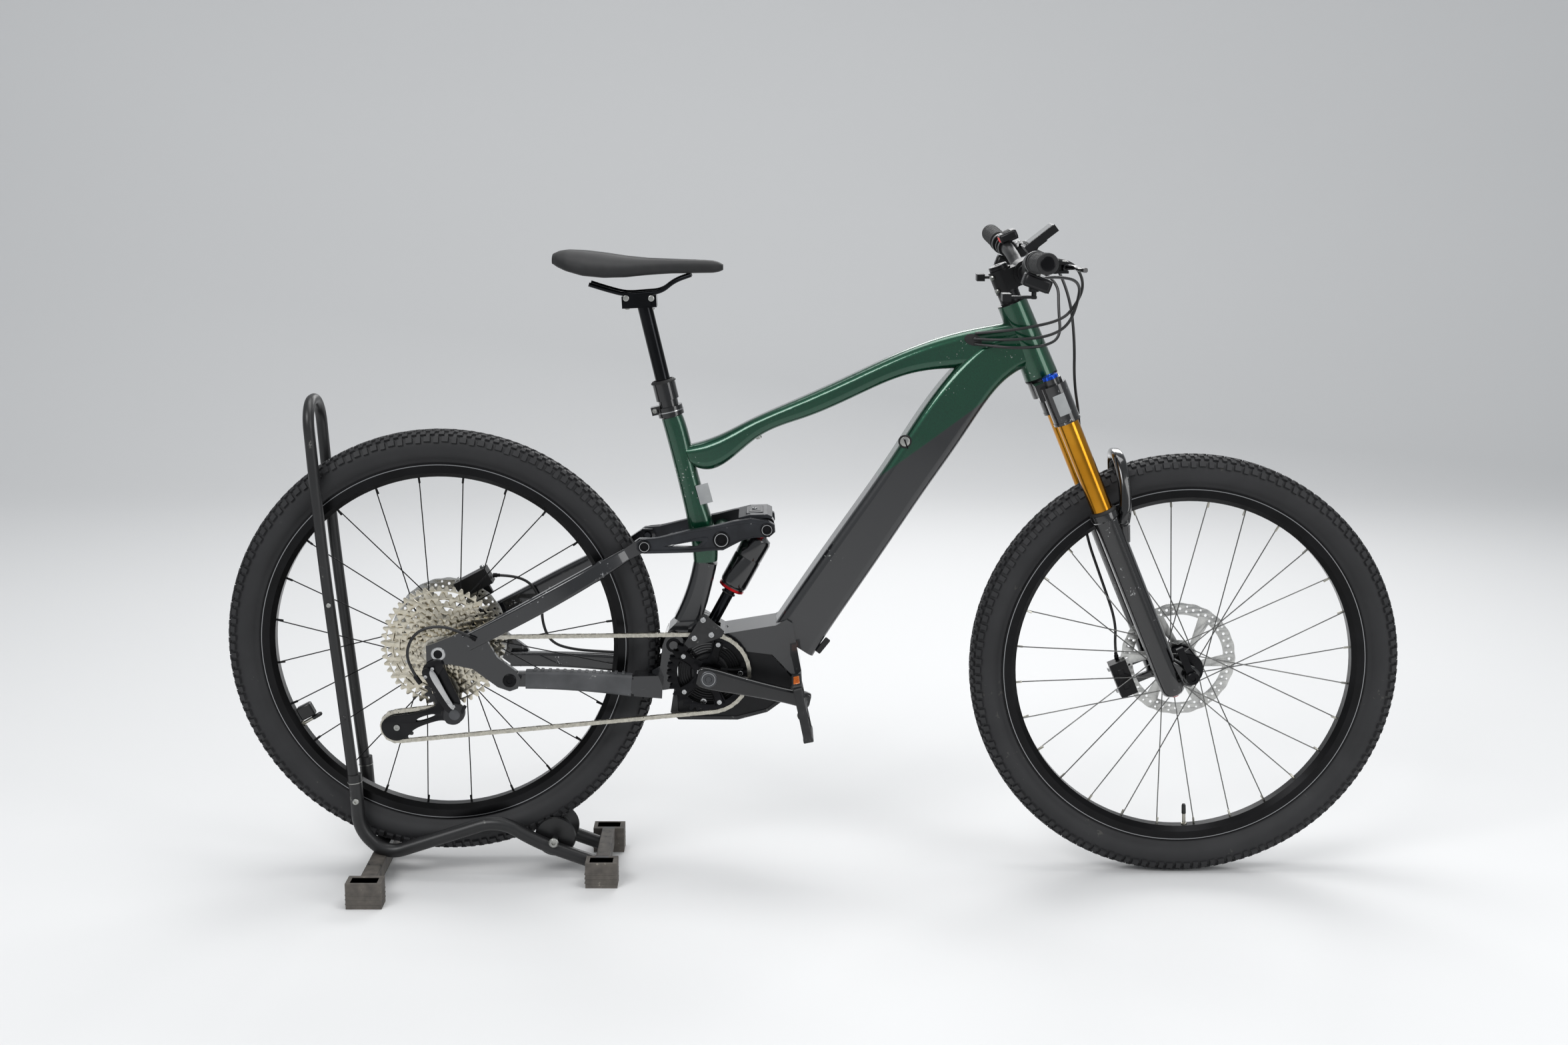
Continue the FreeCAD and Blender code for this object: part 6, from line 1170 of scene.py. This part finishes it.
grip_rubber = surface("grip_rubber", ("#161617", "#1f1f20"), (0.62, 0.76), mottle=12, grain=0.9, depth=0.05)
grip_count = 96
sector = np.arange(grip_count) * 2 * math.pi / grip_count
lever_parts = []
for side in (-1, 1):
    tag = "right" if side < 0 else "left"
    outer, inner = bar_at(side * 390), bar_at(side * 125)
    lean = (outer - inner) / np.linalg.norm(outer - inner)
    start = outer - lean * 0.129
    knobs = np.sign(np.sin(sector * 12)) * 0.5
    profile = [(12, 0.2), (17.6, 0.2), (18, 1.2), (18, 8), (17.2, 9), (15.4, 9.6)]
    for step in range(19):
        at = 12 + step * 6.0
        profile += [(15.3, at), (16.3 + knobs * (0.5 if step % 2 else 0), at + 0.7), (16.3 + knobs * (0.5 if step % 2 else 0), at + 4.4), (15.3, at + 5.0)]
    profile += [(16.2, 128), (16.4, 130), (15.2, 132), (9, 132.4)]
    sleeve = spun(f"grip_sleeve_{tag}", start, tuple(lean), profile, grip_rubber, "steering", grip_count)
    if side < 0:
        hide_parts("grips")
    spun(f"bar_plug_{tag}", start + lean * 0.1325, tuple(lean), [(11, -1), (11, 0.8), (9, 1.6), (3, 1.2)], hub_black, "steering", 40)
    hexed(f"grip_lock_bolt_{tag}", start + lean * 0.0045 + np.array((0.0, 0, -0.0176)), (0, 0, -1), 2.6, 1.6, 2.6, zinc, "steering")
    perch = start - lean * 0.034
    spot = perch + np.array((0.027, 0, -0.006)) - lean * 0.050
    heading = lean + np.array((0.05, 0, 0))
    heading = heading / np.linalg.norm(heading)
    spun(f"reservoir_{tag}", spot, tuple(heading), [(8.8, -4), (10.4, -2.5), (10.8, 0), (10.8, 34), (11.6, 36), (11.6, 58), (10.6, 60), (10.3, 80)],
         control_black, "steering", 48)
    turned_ring(f"perch_clamp_{tag}", perch, tuple(lean), [(11.3, -0.4), (17.4, -0.4), (18, 1), (18, 13), (17.4, 14.4), (11.3, 14.4)], control_black, "steering", 56)
    hexed(f"perch_bolt_{tag}", perch + lean * 0.007 + np.array((0.013, 0, -0.0165)), (0.35, 0, -0.94), 2.8, 2.4, 2.8, zinc, "steering")
    hexed(f"reservoir_bolt_{tag}", spot + heading * 0.047 + np.array((0, 0, 0.0112)), (0, 0, 1), 3.2, 1.4, 3, zinc, "steering")
    pin = perch + lean * 0.026 + np.array((0.042, 0, -0.016))
    root = pin + np.array((0, 0, 0.009))
    spun(f"lever_pin_{tag}", pin + np.array((0, 0, 0.0176)), (0, 0, 1), [(4, 0), (4, 1.2), (3, 1.8)], zinc, "steering", 24)
    # Blade: a hub that opens into a flat two-finger blade with a hooked tip and a row of windows.
    centre = smooth_path(np.array([root + np.array((0, 0, 0)), root + lean * 0.014 + np.array((0.012, 0, 0)), root + lean * 0.032 + np.array((0.0165, 0, -0.001)),
                                   root + lean * 0.062 + np.array((0.0150, 0, -0.002)), root + lean * 0.084 + np.array((0.0165, 0, -0.0027)),
                                   root + lean * 0.093 + np.array((0.0205, 0, -0.003))]), 48)
    thick = np.interp(np.linspace(0, 1, 48), (0, 0.2, 0.4, 0.85, 1), (8.4, 7.6, 6.4, 6.0, 7.2))
    tall = np.interp(np.linspace(0, 1, 48), (0, 0.2, 0.45, 0.85, 1), (8.6, 8.6, 10.6, 9.6, 8.0))
    blade = carried(f"lever_blade_{tag}", centre, np.stack([rounded_section(t, h, 2.8, 5)[:, ::1] for t, h in zip(tall, thick)]), lever_gloss, f"brake_lever_{tag}", 40)
    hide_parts(f"brake_lever_{tag}")
    turned_ring(f"lever_hub_{tag}", pin + np.array((0, 0, 0.009)), (0, 0, 1), [(2.9, -4.4), (6.2, -4.4), (6.6, -3.4), (6.6, 3.4), (6.2, 4.4), (2.9, 4.4)], lever_gloss,
                f"brake_lever_{tag}", 32)
    pod = perch - lean * 0.030
    turned_ring(f"pod_clamp_{tag}", pod, tuple(lean), [(11.3, -0.4), (15.2, -0.4), (15.8, 0.8), (15.8, 8.2), (15.2, 9.4), (11.3, 9.4)], control_black, "steering", 48)
    hexed(f"pod_bolt_{tag}", pod + lean * 0.0045 + np.array((0.012, 0, 0.0105)), (0.75, 0, 0.66), 2.6, 2.2, 2.6, zinc, "steering")
    block(f"pod_shell_{tag}", pod + np.array((0.006, 0, -0.032)), (46, 28 if side < 0 else 20, 22), -20, control_black, "steering", 5)
    spun(f"pod_cap_{tag}", pod + np.array((0.002, 0, -0.0450)), (0, 0, -1), [(8.6, -5), (8.6, 0.6), (7, 1.6)], control_black, "steering", 32)

# Display: slim case with a dark glass face and three rubber keys.
glass, tree, shader = empty_material("display_glass")
place = add(tree, "ShaderNodeTexCoord").outputs["Object"]
haze = add(tree, "ShaderNodeTexNoise", Vector=place, Scale=60.0, Detail=3.0)
smear = add(tree, "ShaderNodeMapRange", n0=haze.outputs["Fac"], n3=0.05, n4=0.14)
tree.links.new(smear.outputs[0], shader.inputs["Roughness"])
dark = stops(add(tree, "ShaderNodeValToRGB", Fac=haze.outputs["Fac"]), (0.3, 0.006), (0.7, 0.012))
tree.links.new(dark, shader.inputs["Base Color"])
shader.inputs["Coat Weight"].default_value = 1.0
dress(control_black, "display")
DISPLAY = BAR_C + np.array((0.024, 0, 0.056))
FACE = np.array((-math.sin(math.radians(38)), 0, math.cos(math.radians(38))))
FLAT = np.array((math.cos(math.radians(38)), 0, math.sin(math.radians(38))))
block("display_glass", DISPLAY + FACE * 0.0066, (57, 47, 1.4), 38, glass, "steering", 0.6)
for k in range(3):
    block(f"display_key_{k}", DISPLAY + FACE * 0.0070 - FLAT * 0.0235 + np.array((0, (k - 1) * 0.013, 0)), (6, 9, 1.8), 38, gasket, "steering", 0.6)
REMOTE = bar_at(170) + np.array((0.002, 0.010, 0.020))
remote_glow, tree, shader = empty_material("remote_lamp")
place = add(tree, "ShaderNodeTexCoord").outputs["Object"]
grainy = add(tree, "ShaderNodeTexNoise", Vector=place, Scale=300.0)
red = stops(add(tree, "ShaderNodeValToRGB", Fac=grainy.outputs["Fac"]), (0.3, 0.5), (0.7, 0.7))
tinted = add(tree, "ShaderNodeMix", {"data_type": "RGBA", "blend_type": "MULTIPLY"}, n0=1.0, n6=red, n7=linear("#ff1d12"))
tree.links.new(tinted.outputs[2], shader.inputs["Base Color"])
tree.links.new(tinted.outputs[2], shader.inputs["Emission Color"])
shader.inputs["Emission Strength"].default_value = 0.25
lean24 = math.radians(24)
TOP24 = np.array((-math.sin(lean24), 0, math.cos(lean24)))
block("remote_shell", REMOTE, (32, 42, 17.5), 24, control_black, "steering", 4)
block("remote_lamp", REMOTE - np.array((math.cos(lean24), 0, math.sin(lean24))) * 0.0155, (2, 26, 9), 24, remote_glow, "steering", 0.6)
for k, dy in enumerate((-10, 4, 14)):
    block(f"remote_key_{k}", REMOTE + TOP24 * 0.0088 + np.array((0, dy / 1000, 0)), (15, 8, 2), 24, gasket, "steering", 0.9)

# ---------------------------------------------------------------- hoses and cables
# Free runs of 5 mm brake hose and gear housing: smooth black polymer over a braid, held by brass-coloured or
# black end fittings, entering the frame through its port and following the stays to brake and derailleur.
CORD_DIAMETER = 0.005
housing = surface("cable_housing", ("#101011", "#19191a"), (0.36, 0.46), grain=0.6, depth=0.01)


def front(back, z, y):
    """Point in metres from mm behind the front axle, height and side."""
    return np.array((0.6405 - back / 1000, y / 1000, z / 1000))


def route(points):
    """Points of the quadratic spline that keeps to the given points, ends included."""
    data = bpy.data.curves.new("route", "CURVE")
    data.dimensions = "3D"
    spline = data.splines.new("NURBS")
    spline.points.add(len(points) - 1)
    for slot, point in zip(spline.points, points):
        slot.co = (*point, 1.0)
    spline.order_u = 3
    spline.use_endpoint_u = True
    spline.resolution_u = 16
    holder = bpy.data.objects.new("route", data)
    line = bpy.data.meshes.new_from_object(holder)
    path = np.array([vertex.co[:] for vertex in line.vertices])
    bpy.data.objects.remove(holder)
    bpy.data.curves.remove(data)
    bpy.data.meshes.remove(line)
    return path


def hose(name, path, material, body=None, around=16):
    """Tube of the cord's diameter along a path, its section turned as little as can be from point to point."""
    travel = np.gradient(path, axis=0)
    travel = travel / np.linalg.norm(travel, axis=1)[:, None]
    side = np.cross(travel[0], (0.3, 0.9, 0.3))
    angle = np.linspace(0, 2 * math.pi, around, endpoint=False)
    rings = []
    for point, along in zip(path, travel):
        side = side - along * (side @ along)
        side = side / np.linalg.norm(side)
        other = np.cross(along, side)
        rings.append(point + (np.cos(angle)[:, None] * side + np.sin(angle)[:, None] * other) * CORD_DIAMETER / 2)
    points = np.vstack(rings)
    faces = [tuple(face) for face in grid_faces(len(path), around, wrap_columns=True)]
    faces += [tuple(range(around))[::-1], tuple(range(len(points) - around, len(points)))]
    return mesh_object(name, points, faces, material, body, 50)


def down(point, drop):
    """A place that many mm lower."""
    return point - np.array((0, 0, drop / 1000))


FRONT_HOSE = [down(bar_at(176.1, 27), 6), down(bar_at(140, 46), 14), down(bar_at(100, 76), 34), down(bar_at(40, 92), 84),
              steer(598, 74, 6), steer(528, 52, 46), steer(458, 42, 88), steer(355, 6, 94), steer(265, -22, 90),
              steer(175, -26, 86), steer(95, -30, 76), steer(56, -50, 62), steer(40, -55.2, 45.2)]
REAR_HOSE_FRONT = [down(bar_at(-175.5, 27), 6), down(bar_at(-140, 48), 14), down(bar_at(-100, 84), 30),
                   down(bar_at(-54, 102), 58), down(bar_at(-27, 89), 92), front(238, 975, -40), front(300, 962, -43),
                   front(345, 956, -37), front(378, 952, -26)]
REAR_HOSE_REAR = [rear(330, 371.8, 67.4), rear(270, 374.6, 67.4), rear(212, 379, 67), rear(176, 392, 64), rear(162, 424, 62),
                  rear(160, 462, 62), rear(146, 498, 64), rear(112, 514, 64), rear(76, 514, 62)]
GEAR_CABLE = [down(bar_at(-182.8, 14), 32), down(bar_at(-148, 40), 38), down(bar_at(-88, 94), 56), down(bar_at(-36, 92), 90),
              front(226, 964, -36), front(262, 948, -46), front(312, 944, -45), front(350, 942, -38), front(380, 943, -25.6)]
POST_CABLE = [down(bar_at(186.7, 14), 32), down(bar_at(148, 38), 42), down(bar_at(84, 80), 64), down(bar_at(34, 70), 96),
              front(232, 944, -10), front(264, 932, -40), front(310, 930, -49), front(348, 932, -41), front(378, 934, -25.6)]
GEAR_LOOP = [rear(66, 437, -90.2), rear(36, 454, -92), rear(0, 462, -92), rear(-34, 452, -92), rear(-52, 422, -92),
             rear(-48, 388, -90), rear(-30, 360, -87)]
# Name, route, length in metres, bodies it bends between, where the bend starts and ends, CAD node, stiffness.
CORDS = (("front_brake_hose_run", FRONT_HOSE, 0.857, ("steering", "fork_lowers"), (6, 9), "front_brake_hose", "stiff"),
         ("rear_brake_hose_loop", REAR_HOSE_FRONT, 0.379, ("steering", "frame"), (2, 7), "rear_brake_hose", "stiff"),
         ("rear_brake_hose_tail", REAR_HOSE_REAR, 0.336, ("chainstay", "rear_end"), (2, 6), None, "stiff"),
         ("gear_cable_loop", GEAR_CABLE, 0.384, ("steering", "frame"), (2, 7), "control_cables", "medium"),
         ("post_cable_loop", POST_CABLE, 0.410, ("steering", "frame"), (2, 7), None, "medium"),
         ("gear_cable_tail", GEAR_LOOP, 0.205, ("rear_end", None), (0, 0), None, "medium"))
for name, points, length, (first_body, last_body), (bend_from, bend_to), node, stiffness in CORDS:
    path = route(points)
    piece = hose(name, path, housing, None if last_body else first_body)
    if last_body:
        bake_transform(piece)
    if node:
        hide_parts(node)


# Fittings: a crimped sleeve at each controls end, and a banjo at each caliper.
for name, points, body, radius in (("front_hose_nut", FRONT_HOSE, "steering", 4.2), ("rear_hose_nut", REAR_HOSE_FRONT, "steering", 4.2),
                                   ("gear_cable_nut", GEAR_CABLE, "steering", 3.8), ("post_cable_nut", POST_CABLE, "steering", 3.8),
                                   ("front_banjo", FRONT_HOSE[::-1], "fork_lowers", 4.0), ("rear_banjo", REAR_HOSE_REAR[::-1], "rear_end", 4.0),
                                   ("gear_loop_end", GEAR_LOOP, "rear_end", 3.6), ("gear_loop_stop", GEAR_LOOP[::-1], "rear_end", 3.6)):
    heading = points[1] - points[0]
    heading = heading / np.linalg.norm(heading)
    turned_ring(name, points[0], tuple(heading), [(2.6, 0), (radius, 0), (radius, 7), (radius - 0.9, 8), (radius - 0.9, 12), (2.6, 12.6)], hub_black, body, 24)
